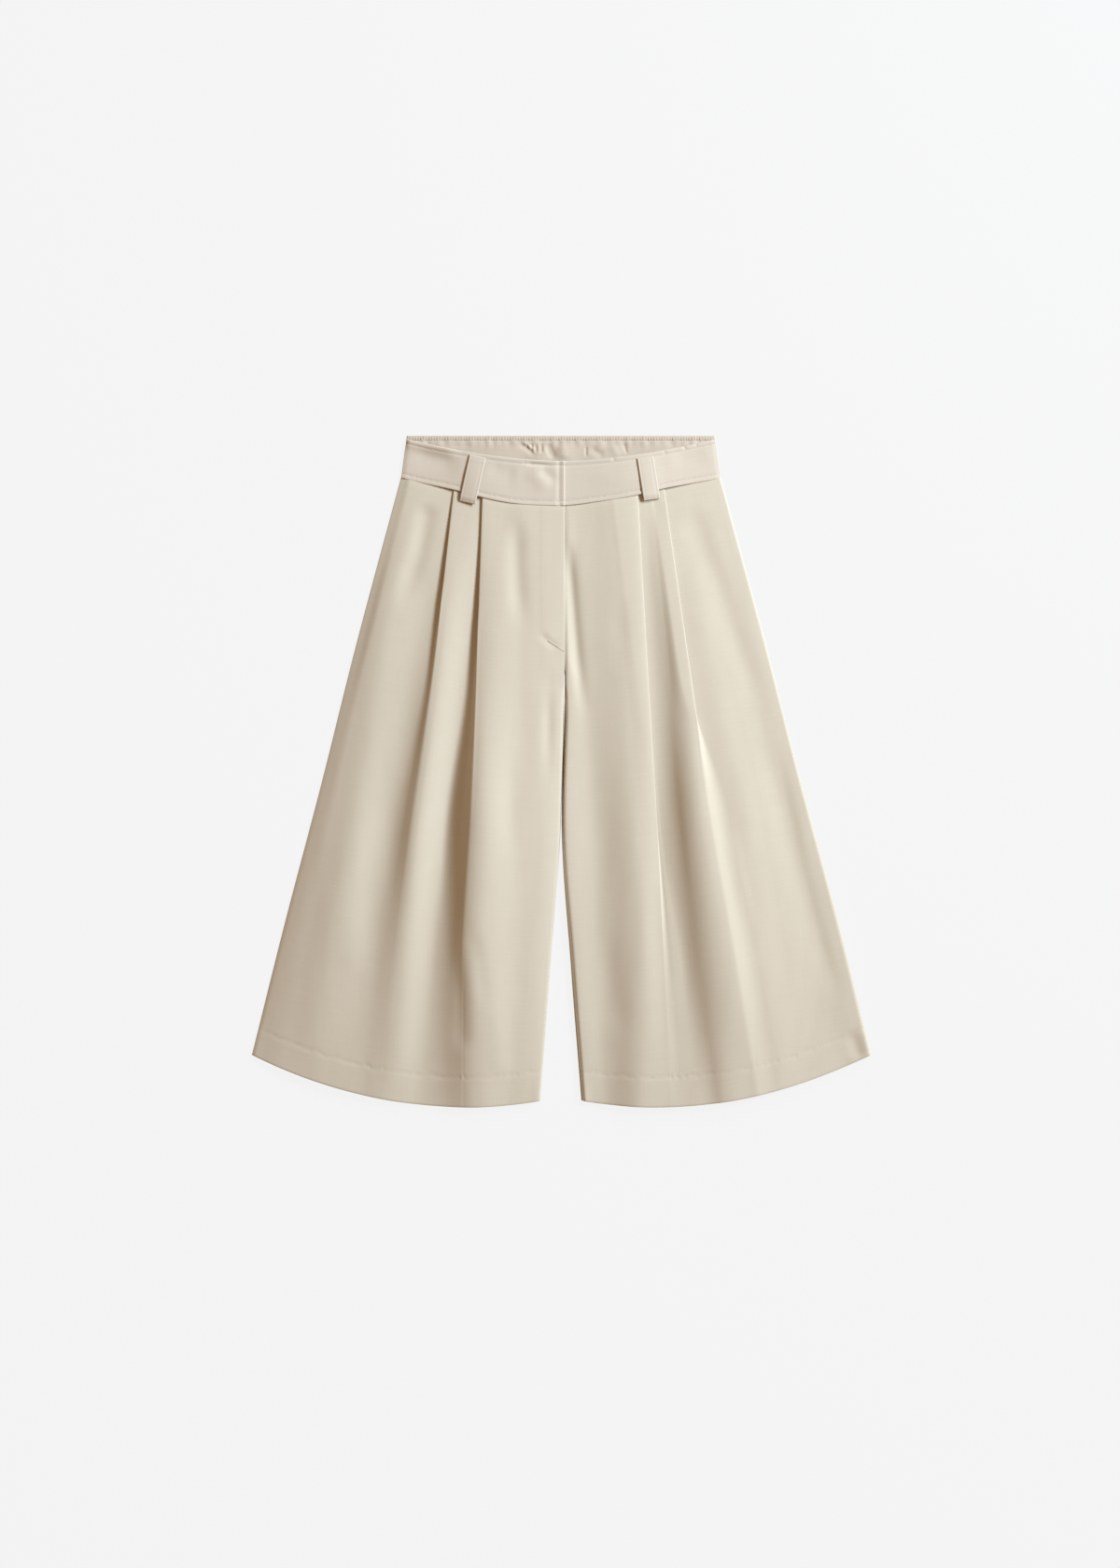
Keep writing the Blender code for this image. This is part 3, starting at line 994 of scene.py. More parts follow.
def enter(piece: bpy.types.Object, finish: bpy.types.Material | None, *nodes: str) -> None:
    """Gives a piece its finish and enters it with the frame.

    Args:
        piece: the piece.
        finish: its material, or None where it has one.
        *nodes: the CAD nodes that it stands for.
    """
    if finish is not None:
        piece.data.materials.clear()
        piece.data.materials.append(finish)
    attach(piece, BODY)
    if nodes:
        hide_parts(*nodes)
    log.info("%s: %d faces", piece.name, len(piece.data.polygons))


RIGHT_FOLDS = (
    FoldLine("centre_seam", (-3.3, -3.1, 0.3, 11.2, 21.4), None),
    FoldLine("centre_roll", (-2.2, -2.0, 1.0, 11.9, 22.1), (9.0, 9.0, 7.8, 7.4, 6.6)),
    FoldLine("slope", (36, 38, 42, 43, 50), (9.8, 13.2, 16.2, 13.6, 9.8)),
    Pleat(
        "inner_pleat",
        across=(79.6, 86.6, 94.0, 101.4, 102.4),
        height=(8.7, 15.4, 24.4, 20.6, 12.6),
        drop=(1.35, 7.0, 19.4, 14.6, 7.2),
        spread=(-22, 8, 31, 42, 48),
        brow=(0.05, 0.30, 0.42, 0.42, 0.30),
        foot=(0.0, 0.38, 0.34, 0.14, 0.0),
        brow_width=6.0,
    ),
    Pleat(
        "outer_pleat",
        across=(108.6, 130.4, 151.4, 172.0, 187.0),
        height=(5.7, 13.4, 16.0, 13.2, 9.6),
        drop=(1.35, 5.8, 10.8, 5.2, 1.0),
        spread=(-20, 12, 31, 36, 38),
        brow=(0.05, 0.24, 0.28, 0.15, 0.05),
        foot=(0.02, 0.32, 0.3, 0.14, 0.12),
        brow_width=4.0,
    ),
    FoldLine("side_crest", (138, 178, 206, 234, 250), (4.0, 7.8, 9.8, 11.5, 8.9)),
    FoldLine("side_fall", (152, 197, 227, 259, 284), (3.8, 5.6, 6.9, 7.9, 7.4)),
    FoldLine("side_roll", (158.8, 205.6, 239.4, 278.2, 310.4), (2.2, 2.7, 2.9, 3.0, 2.9)),
    FoldLine("side_seam", (162.2, 209.4, 243.2, 281.8, 314.0), (SEAM_LINE,) * 5),
)

LEFT_FOLDS = (
    FoldLine("centre_seam", (3.9, 4.7, 1.4, 11.0, 21.4), None),
    FoldLine("centre_roll", (7.9, 7.4, 3.6, 14.4, 25.0), (7.6, 8.3, 8.4, 7.8, 6.4)),
    FoldLine("inner_trough", (15, 27, 34, 39, 42), (7.6, 6.2, 4.8, 5.8, 5.8)),
    FoldLine("inner_crest", (48, 66, 76, 84, 82), (9.2, 9.4, 11.0, 13.6, 13.0)),
    Pleat(
        "inner_pleat",
        across=(78.1, 88.6, 97.3, 105.5, 113.0),
        height=(8.7, 8.2, 8.6, 10.8, 11.6),
        drop=(1.7, 2.4, 2.6, 0.9, 0.2),
        spread=(-22, -8, 0, 7, 12),
        brow=(0.14, 0.28, 0.3, 0.1, 0.0),
        foot=(0.0, -0.1, -0.25, -0.05, 0.0),
        brow_width=7.0,
    ),
    FoldLine("pleat_trough", (84, 93.0, 101.5, 123, 136), (6.9, 5.6, 6.4, 10.1, 11.5)),
    FoldLine(
        "trough_rise", (90, 110, 121.5, 141, 160), (6.5, 8.8, 13.2, 15.8, 13.6),
        slope=(-0.04, 0.36, 0.64, 0.46, 0.28),
    ),
    Pleat(
        "outer_pleat",
        across=(104.5, 131.0, 151.5, 179.0, 202.0),
        height=(5.7, 12.0, 20.0, 21.6, 14.6),
        drop=(1.5, 2.8, 6.6, 6.4, 3.2),
        spread=(-9, -8, 22, 28, 30),
        brow=(0.02, 0.12, 0.22, 0.12, 0.02),
        foot=(0.0, 0.0, 0.02, 0.05, 0.05),
        brow_width=5.0,
    ),
    FoldLine("side_shelf", (128, 168, 202, 230, 246), (3.6, 7.6, 11.0, 11.6, 9.4)),
    FoldLine("side_low", (148, 192, 222, 258, 286), (3.2, 6.5, 8.6, 8.8, 6.9)),
    FoldLine("side_roll", (161.0, 208.9, 243.4, 282.6, 314.0), (2.7, 5.8, 8.8, 9.4, 8.4)),
    FoldLine("side_seam", (162.2, 210.0, 244.4, 283.6, 315.0), (SEAM_LINE,) * 5),
)

RIGHT_CREASES = (
    Crease("fly_side_trough", ((-44, 262), (-45, 225), (-43, 175), (-38, 135)), -2.0, 9, 9, 0.3, 0.4),
    Crease("inseam_trough", ((-10, 112), (-12, 60), (-12, -20)), -1.3, 5, 5.5, 0.5, 0.5),
    Crease("fly_end", ((-21, 141), (-13, 131.5), (-3, 125)), -0.9, 3.2, 3.6, 0.3, 0.1),
    Crease("plateau_ridge", ((-25, 95), (-24, 30), (-28, -70)), 0.5, 10, 12, 0.45, 0.5),
    Crease("plateau_dip", ((-50, 20), (-52, -40), (-50, -95)), -0.8, 9, 9, 0.4, 0.4),
    Crease("waist_dip", ((-134, 275), (-138, 252), (-151, 196), (-158, 165)), -2.0, 9, 9, 0.15, 0.4),
    Crease("side_roundness", ((-150, 262), (-166, 205), (-190, 110), (-206, 20)), 1.1, 13, 22, 0.3, 0.5),
    Crease("side_dimple", ((-150, 225), (-160, 185), (-166, 160)), -0.8, 9, 9, 0.4, 0.4),
    Crease("knee_swell", ((-196, -20), (-214, -130), (-212, -225)), 1.2, 15, 18, 0.4, 0.25),
    Crease("trough_end", ((-104, -170), (-101, -235), (-100, -290)), -1.4, 8, 8, 0.5, 0.2),
    Crease("trough_branch", ((-92, -150), (-82, -200), (-78, -245)), -0.9, 8, 8, 0.4, 0.35),
    Crease("outer_ridge", ((-139, -20), (-152, -165), (-159, -250), (-170, -330)), 0.9, 11, 11, 0.4, 0.2),
    Crease("inner_ridge", ((-70, -190), (-66, -250), (-61, -320)), 0.7, 10, 10, 0.5, 0.2),
)

LEFT_CREASES = (
    Crease("fly_trough", ((7, 240), (10, 195), (16, 120), (24, 50)), -3.2, 6, 7, 0.25, 0.4),
    Crease("plateau_dip", ((58, 190), (60, 130), (64, 90)), -0.7, 12, 9, 0.5, 0.5),
    Crease(
        "side_ridge",
        ((125, 235), (132, 196), (151, 120), (166, 44), (185, -32), (196, -108), (213, -184)),
        0.8, 13, 14, 0.2, 0.4,
    ),
    Crease(
        "side_streak",
        ((134, 272), (146, 225), (158, 196), (179, 130), (196, 78), (208, 34)),
        -1.4, 11, 13, 0.1, 0.4,
    ),
    Crease("ridge_crest", ((168, -40), (184, -120), (196, -175)), 0.7, 6, 9, 0.4, 0.5),
    Crease("edge_dip", ((213, 44), (233, -50), (257, -150), (284, -240)), -0.9, 7, 12, 0.3, 0.2),
    Crease("corner_dimple", ((296, -262), (302, -282), (306, -292)), -1.3, 8, 8, 0.4, 0.2),
    Crease("knee_trough", ((46, -150), (52, -220), (66, -280)), -0.8, 13, 12, 0.4, 0.3),
)

BACK_CREASES = (
    Crease("fold_a", ((90, 190), (120, 60), (135, -60)), 0.7, 10, 12),
    Crease("fold_b", ((150, 100), (190, -40), (215, -190)), 0.8, 12, 12),
    Crease("fold_c", ((60, 20), (80, -120), (88, -250)), 0.6, 10, 10),
)

RIGHT_BAND_CREASES = (
    Crease("lap_highlight", ((-33, 309), (-22, 296), (-10, 283)), 0.9, 7, 8),
    Crease("lap_smudge", ((-22, 309), (-12, 300), (-3, 291)), -0.7, 5, 5),
    Crease("side_hollow", ((-156, 326), (-130, 318), (-100, 310)), -1.3, 8, 13),
    Crease("rim_rise", ((-160, 336), (-130, 330), (-98, 323)), 1.9, 6, 7, 0.1, 0.3),
    Crease("mid_hollow", ((-76, 309), (-60, 304), (-42, 301)), -0.8, 8, 11),
    Crease("lap_notch", ((-36.6, 316), (-37, 310)), -0.5, 0.9, 0.9),
)

LEFT_BAND_CREASES = (
    Crease("band_swell", ((20, 296), (60, 298), (110, 306)), 0.5, 12, 12),
    Crease("notch_a", ((52.5, 319), (54.5, 314.5)), -0.7, 1.0, 1.4),
    Crease("notch_b", ((104, 326), (107, 321.5)), -0.5, 1.0, 1.4),
    Crease("notch_c", ((124.5, 331), (127.5, 326)), -0.7, 1.0, 1.6),
    Crease("notch_d", ((136, 334), (139, 329)), -0.5, 1.0, 1.4),
    Crease("band_dip", ((110, 318), (130, 318), (150, 324)), -0.5, 9, 9),
)

BACK_BAND_CREASES = (
    Crease("slant_tuck", ((-43.6, 334), (-34, 328), (-25, 320)), -1.1, 2.0, 2.6),
    Crease("slant_ridge", ((-40, 336), (-31, 329), (-24, 323)), 0.9, 1.6, 2.2),
    Crease("tuck_a", ((-34.7, 334), (-34.2, 326)), -0.8, 1.1, 1.1),
    Crease("tuck_b", ((-29.9, 334), (-29.5, 324)), -0.8, 1.2, 1.2),
    Crease("tuck_c", ((-25.2, 334), (-25.4, 322)), -0.9, 1.2, 1.2),
    Crease("tuck_d", ((-19.9, 334), (-19.6, 322)), -1.0, 1.3, 1.3),
    Crease("hollow", ((-14, 334), (-11, 325), (-6, 317)), -1.5, 3.2, 2.6),
    Crease("swell", ((1, 334), (1.5, 326), (2, 316)), 1.2, 5.5, 6.0),
    Crease("pin_tuck", ((26, 331), (25.6, 324), (25.7, 319)), -1.1, 0.9, 0.9),
    Crease("far_hollow", ((29, 331), (37, 324), (46, 320)), -0.9, 3.5, 4.0),
    Crease("far_swell", ((52, 334), (55, 326), (58, 318)), 0.7, 4.0, 5.0),
    Crease("side_tuck", ((64.5, 334), (65.5, 328), (67, 322)), -0.9, 1.4, 1.4),
)


def turned_up(
    outer: np.ndarray, outward: np.ndarray, inward: np.ndarray, rows: Sequence[int]
) -> np.ndarray:
    """A leg panel's cloth with its hem folded over and turned up on the inside.

    Args:
        outer: the cloth that shows, shaped (rows, columns, 3), with the hem as its last row.
        outward: the way out over the hem's edge, at each point of that row.
        inward: the way to the cloth's inner side, at every point.
        rows: the rows that the turned-up cloth runs back along.

    Returns:
        The whole cloth, with rows added past the fold.
    """
    angles = [math.pi * step / HEM_FOLD_STEPS for step in range(1, HEM_FOLD_STEPS + 1)]
    fold = [
        outer[-1]
        + outward * HEM_FOLD * math.sin(angle)
        + inward[-1] * HEM_FOLD * (1 - math.cos(angle))
        for angle in angles
    ]
    inside = [outer[row] + inward[row] * 2 * HEM_FOLD for row in rows]
    return np.concatenate((outer, np.array(fold), np.array(inside)))


@dataclass
class Chain:
    """Points of a section that belong together, (rows, points, 2), with the slopes at its ends."""

    points: np.ndarray
    slope_in: np.ndarray | None = None
    slope_out: np.ndarray | None = None


@dataclass
class FrontPanel:
    """A front leg panel with its two pleats, its creases and its turned-up hem, in mm.

    fly_height is how high its centre edge lies above the crotch, and fly_thickness how thick the
    faced cloth is there. underlap is how far the panel runs on below the other one's fly edge, and
    underlap_sink how far it sinks there. The hem's stacked layers lift it up to stack_reach from its
    seams. The cloth dips by waist_dip just below the waistband, and its creases and swells grow to
    their full height within free_edge of its edges and free_waist of the waist seam. Both need cloth
    that stands high enough: dip_above and free_above give the height where they start and the rise
    over which they grow. A stretch between two folds that is narrower than narrow still has
    narrow_steps columns.
    """

    name: str
    side: Side
    folds: tuple[FoldLine | Pleat, ...]
    creases: tuple[Crease, ...]
    fly_height: float
    fly_thickness: float
    underlap: float
    swells: Unevenness
    rows: int = 262
    row_crowding: float = 0.055
    column_width: float = 2.7
    narrow: float = 9.0
    narrow_steps: int = 6
    arc_steps: int = 7
    tuck_steps: int = 4
    least_underlap: float = 0.4
    underlap_sink: float = 0.9
    stack_reach: float = 12.0
    waist_dip: float = 0.5
    waist_dip_run: float = 6.0
    dip_above: tuple[float, float] = (1.9, 3.0)
    free_edge: float = 14.0
    free_waist: float = 22.0
    free_above: tuple[float, float] = (1.4, 4.0)

    def shares(self) -> np.ndarray:
        """The rows' places from the waist seam to the hem, closer together at both ends."""
        even = np.linspace(0.0, 1.0, self.rows)
        return even - self.row_crowding * np.sin(2 * math.pi * even) / 2

    def pleat_chain(self, pleat: Pleat, share: np.ndarray) -> Chain:
        """A pleat's section at every row: two arcs and the line that joins them.

        Args:
            pleat: the pleat.
            share: the rows' places.

        Returns:
            The chain of its points, with its slopes at both ends.
        """
        across, height, drop, spread, brow, foot = (
            through(STATIONS, row, share)
            for row in (pleat.across, pleat.height, pleat.drop, pleat.spread, pleat.brow, pleat.foot)
        )
        widest = (spread**2 + drop**2) / (4 * drop)
        opened = ease(spread / drop)
        round_share = FOLDED_ROUNDNESS + (OPEN_ROUNDNESS - FOLDED_ROUNDNESS) * opened
        shut = np.minimum(drop / 4, FOLDED_ROUNDNESS * widest)
        radius = np.where(spread > 0, widest * round_share, shut)
        radius = np.maximum(radius, np.minimum(widest, TIGHTEST_TURN))
        centres = np.hypot(spread, drop - 2 * radius)
        turn = np.arctan2(drop - 2 * radius, spread) + np.arcsin(np.minimum(2 * radius / centres, 1.0))
        straight = np.sqrt(np.maximum(centres**2 - 4 * radius**2, 0.0))
        upper = 2 * radius * (0.5 + (pleat.open_crest - 0.5) * opened)
        lower = 2 * radius - upper
        tilt = np.minimum(np.arctan(brow), MOST_TILT * turn)
        level = np.minimum(np.arctan(foot), MOST_TILT * turn)
        start = across - upper * (np.sin(np.minimum(turn, math.pi / 2)) - np.sin(tilt))
        reach = np.maximum(-spread, 0.0) + PLEAT_LEAD
        width = pleat.brow_width
        points = []
        for k in range(self.tuck_steps):
            back = reach * (1 - k / self.tuck_steps) ** TUCK_CROWDING
            points.append((start - back, height + brow * width * (1 - np.exp(-back / width))))
        for k in range(self.arc_steps + 1):
            angle = tilt + (turn - tilt) * k / self.arc_steps
            x = start + upper * (np.sin(angle) - np.sin(tilt))
            points.append((x, height - upper * (np.cos(tilt) - np.cos(angle))))
        turned_x, turned_z = points[-1]
        for k in range(1, self.tuck_steps):
            run = straight * k / self.tuck_steps
            points.append((turned_x + run * np.cos(turn), turned_z - run * np.sin(turn)))
        low_x = turned_x + straight * np.cos(turn)
        low_z = turned_z - straight * np.sin(turn)
        for k in range(self.arc_steps + 1):
            angle = turn + (level - turn) * k / self.arc_steps
            x = low_x + lower * (np.sin(turn) - np.sin(angle))
            points.append((x, low_z - lower * (np.cos(angle) - np.cos(turn))))
        made = np.stack([np.stack(point, axis=1) for point in points], axis=1)
        return Chain(made, -brow * np.exp(-reach / width), -np.tan(level))

    def chains(self, share: np.ndarray) -> list[Chain]:
        """Every fold line and pleat as a chain of section points, from the centre outwards.

        Args:
            share: the rows' places.

        Returns:
            The chains, in order.
        """
        made = []
        for fold in self.folds:
            if isinstance(fold, Pleat):
                made.append(self.pleat_chain(fold, share))
                continue
            across = through(STATIONS, fold.across, share)
            if fold.height is None:
                fallen = ease((share - CROTCH) / CROTCH_RUN)
                height = self.fly_height + (SEAM_LINE - self.fly_height) * fallen
                if self.underlap:
                    under = 1 - ease((share - CROTCH + UNDERLAP_END) / FLY_FADE)
                    reach = self.least_underlap + self.underlap * under
                    sunk = self.underlap_sink * (1 - fallen)
                    edge = np.stack((across - reach, height - sunk), axis=1)
                    made.append(Chain(edge[:, None]))
            else:
                height = through(STATIONS, fold.height, share)
            slope = None if fold.slope is None else through(STATIONS, fold.slope, share)
            made.append(Chain(np.stack((across, height), axis=1)[:, None], slope, slope))
        return made

    def section(self, share: np.ndarray) -> np.ndarray:
        """All sections: the chains with smooth stretches between them.

        Args:
            share: the rows' places.

        Returns:
            Points (across, height), shaped (rows, columns, 2).
        """
        chains = self.chains(share)
        rises = [
            (after.points[:, 0, 1] - before.points[:, -1, 1])
            / (after.points[:, 0, 0] - before.points[:, -1, 0])
            for before, after in zip(chains, chains[1:])
        ]
        for chain, before, after in zip(chains[1:], rises, rises[1:]):
            if chain.slope_in is None:
                total = np.where(np.abs(before + after) < 1e-9, 1.0, before + after)
                level = np.where(before * after > 0, 2 * before * after / total, 0.0)
                chain.slope_in = chain.slope_out = level
        chains[0].slope_out, chains[-1].slope_in = rises[0], rises[-1]
        parts = [chains[0].points]
        for before, after in zip(chains, chains[1:]):
            (from_x, from_z), (to_x, to_z) = before.points[:, -1].T, after.points[:, 0].T
            run = to_x - from_x
            widest = float(run.max())
            fewest = self.narrow_steps if widest < self.narrow else 2
            steps = max(fewest, round(widest / self.column_width))
            between = [
                np.stack(
                    (
                        from_x + run * t,
                        hermite(from_z, to_z, before.slope_out, after.slope_in, run, t),
                    ),
                    axis=1,
                )
                for t in np.arange(1, steps) / steps
            ]
            parts.extend((np.stack(between, axis=1), after.points))
        return np.concatenate(parts, axis=1)

    def surface(self) -> np.ndarray:
        """The cloth's middle without its hem turned up.

        Returns:
            Its points in mm, shaped (rows, columns, 3).
        """
        share = self.shares()
        section = self.section(share)
        across, height = section[..., 0], section[..., 1]
        start = front_seam(self.side, across[0]) + SEAM_ALLOWED
        along = start + (hem(across[-1]) - start) * share[:, None]
        to_hem = along - hem(across[-1])
        edge = np.minimum(across - across[:, :1], across[:, -1:] - across)
        stacked = HEM_STACK * ease(1 - to_hem / HEM_STACK_RUN) * ease(1 - edge / self.stack_reach)
        height = height + stacked
        below_waist = start - along
        low, rise = self.dip_above
        dip = self.waist_dip * ease(1 - below_waist / self.waist_dip_run) * ease((height - low) / rise)
        x = self.side.value * across
        lift = crease_lift(self.creases, x, along) + self.swells.lift(x, along)
        free = ease(edge / self.free_edge) * ease(below_waist / self.free_waist)
        low, rise = self.free_above
        height = height - dip + lift * free * ease((height - low) / rise)
        return np.stack((x, along, height), axis=2)

    def with_hem(self, outer: np.ndarray) -> np.ndarray:
        """The surface with its hem folded under and turned up on the inside.

        Args:
            outer: the cloth that shows, from surface().

        Returns:
            The whole cloth, with rows added past the fold.
        """
        normals = surface_normals(outer)
        if normals[..., 2].sum() < 0:
            normals = -normals
        outward = outer[-1] - outer[-2]
        outward /= np.linalg.norm(outward, axis=1, keepdims=True)
        distance = np.linalg.norm(outer[-1] - outer, axis=2).min(axis=1)
        turned = [row for row in range(len(outer) - 2, 0, -1) if distance[row] < HEM_DEPTH]
        return turned_up(outer, outward, -normals, turned)

    def thickness(self, middle: np.ndarray) -> np.ndarray:
        """One layer of cloth, and two where the fly is faced.

        Args:
            middle: the whole cloth.

        Returns:
            The thickness at every point, in mm.
        """
        across = self.side.value * middle[..., 0]
        faced = 1 - ease((across - across[:, :1] - FACING_WIDTH) / FACING_EDGE)
        share = np.clip((WAIST_SIDE - WAIST_DIP - middle[..., 1]) / FRONT_LENGTH, 0.0, 1.0)
        faced = faced * (1 - ease((share - CROTCH + FACING_END) / FLY_FADE))
        return CLOTH + (self.fly_thickness - CLOTH) * faced

    def build(self, finish: bpy.types.Material, under: str) -> bpy.types.Object:
        """Args:
            finish: its material.
            under: the piece that it lies on. Not used.

        Returns:
            The panel.
        """
        outer = self.surface()
        middle = self.with_hem(outer)
        anchor = middle.shape[1] // 3
        shell = ClothShell(middle, self.thickness(middle), anchor)
        shell.raise_top(self.hem_line(middle, len(outer)))
        piece = shell.build(self.name + "_cloth")
        enter(piece, finish, self.name)
        return piece

    def hem_line(self, middle: np.ndarray, shown: int) -> np.ndarray:
        """The faint step and dimples where the hem's blind stitches catch the cloth.

        Args:
            middle: the whole cloth.
            shown: how many of its rows are on the outside.

        Returns:
            The lift of the outer side, in mm.
        """
        x, y = middle[..., 0], middle[..., 1]
        above = y - hem(np.abs(x)) - HEM_DEPTH
        puckers = PuckerRow(pitch=5.4, depth=0.55, reach=1.8, seed=HEM_SEED + self.side.value)
        wandering = 1.6 * np.sin(x / 3.1) * np.sin(x / 17.0)
        lift = puckers.lift(x, above + wandering) + HEM_STITCHED.lift(above)
        lift[shown:] = 0.0
        return lift


@dataclass
class BackPanel:
    """A back leg panel: plain and flat, gathered into the elastic waist, its hem turned up.

    centre and seam are its edges' distances from the middle line at the stations, in mm. It lies
    lift above the floor, and seam_rise higher within seam_run of its edges. gathers is the height
    of its folds below the waist, gather_reach their length and how much that varies, and calm_side
    how far from the side seam they are full. Its creases are full from free_edge inwards.
    """

    name: str
    side: Side
    centre: tuple[float, ...]
    seam: tuple[float, ...]
    creases: Sequence[Crease]
    rows: int = 215
    columns: int = 112
    row_height: float = 2.97
    waist_gap: float = 0.1
    lift: float = 0.15
    seam_rise: float = 0.35
    seam_run: float = 5.0
    gathers: float = 1.5
    gather_reach: tuple[float, float] = (52.0, 30.0)
    calm_side: float = 40.0
    free_edge: float = 20.0

    def surface(self) -> np.ndarray:
        """The cloth's middle without its hem turned up.

        Returns:
            Its points in mm, shaped (rows, columns, 3).
        """
        share = np.linspace(0.0, 1.0, self.rows)[:, None]
        place = np.linspace(0.0, 1.0, self.columns)[None, :]
        inner = through(STATIONS, self.centre, share[:, 0])[:, None]
        outer = through(STATIONS, self.seam, share[:, 0])[:, None]
        across = inner + (outer - inner) * place
        start = WAIST_SIDE - self.waist_gap
        along = start + (hem(across[-1:]) - start) * share
        x = self.side.value * across
        edge = np.minimum(across - inner, outer - across)
        seam_rise = self.seam_rise * ease(1 - edge / self.seam_run)
        fullness = np.abs(np.sin(across / 5.2 + 0.7 * np.sin(across / 17.0)))
        length, variation = self.gather_reach
        reach = length + variation * np.sin(across / 9.0)
        gathers = self.gathers * fullness * ease(1 - (start - along) / reach)
        gathers = gathers * ease((outer - across) / self.calm_side)
        creased = crease_lift(self.creases, x, along) * ease(edge / self.free_edge)
        height = CLOTH / 2 + self.lift + seam_rise + gathers + creased
        return np.stack((x, along, height), axis=2)

    def build(self, finish: bpy.types.Material) -> bpy.types.Object:
        """Args:
            finish: its material.

        Returns:
            The panel.
        """
        outer = self.surface()
        outward, up = np.array((0.0, -1.0, 0.0)), np.array((0.0, 0.0, 1.0))
        last = len(outer) - 1
        turned = [row for row in range(last - 1, 0, -1) if (last - row) * self.row_height < HEM_DEPTH]
        middle = turned_up(outer, outward, np.broadcast_to(up, outer.shape), turned)
        shell = ClothShell(middle, CLOTH)
        piece = shell.build(self.name + "_cloth")
        enter(piece, finish, self.name)
        return piece


# Heights of the front waistband's middle, in mm, at places across: along its seam and its rim
BAND_PLACES = (0, 60, 84, 108, 135, 162)
BAND_AT_SEAM = (9.2, 9.3, 8.8, 6.3, 3.9, 2.35)
BAND_AT_RIM = (8.4, 8.2, 7.4, 5.6, 3.6, 2.35)
BAND_LIFT = 0.25  # how far its cloth lies above these heights
SINK_FROM = 4.9  # from here outwards the left band rises from below the lap
SINK_RUN = 70.0
CLOSE_STEPS = (0.0, 0.12, 0.36, 0.75, 1.3)  # places close together at a strip's rounded edge
THINNEST = 0.3  # the share of its thickness that a rounded edge ends with


def band_height(across: np.ndarray, rise: np.ndarray) -> np.ndarray:
    """Height of the front waistband's middle: rise is 0 at the seam and 1 at the rim."""
    at_seam = through(BAND_PLACES, BAND_AT_SEAM, np.abs(across))
    at_rim = through(BAND_PLACES, BAND_AT_RIM, np.abs(across))
    return at_seam + (at_rim - at_seam) * rise


def narrowed(across: np.ndarray, rise: Numbers) -> np.ndarray:
    """How far across a place lies on the front waistband, which is narrower at its rim."""
    return across * (1 + (RIM_HALF / WAIST_HALF - 1) * rise * np.abs(across) / WAIST_HALF)


def clustered(length: float, step: float) -> np.ndarray:
    """Places along a strip, closer together at its rounded ends.

    Args:
        length: the strip's length, in mm.
        step: about how far apart the places are between its ends.

    Returns:
        The places from 0 to length, in mm.
    """
    last = [length - place for place in reversed(CLOSE_STEPS)]
    first, run = CLOSE_STEPS[-1], last[0] - CLOSE_STEPS[-1]
    inner = np.linspace(first, last[0], max(3, round(run / step)) + 1)[1:-1]
    return np.array([*CLOSE_STEPS, *inner, *last])


def rounded(distance: np.ndarray, half: float) -> np.ndarray:
    """How full a rounded edge is at a distance from it, up to 1 at half the thickness."""
    inside = 1 - np.clip(distance / half, 0.0, 1.0)
    return np.maximum(np.sqrt(np.maximum(1 - inside**2, 0.0)), THINNEST)


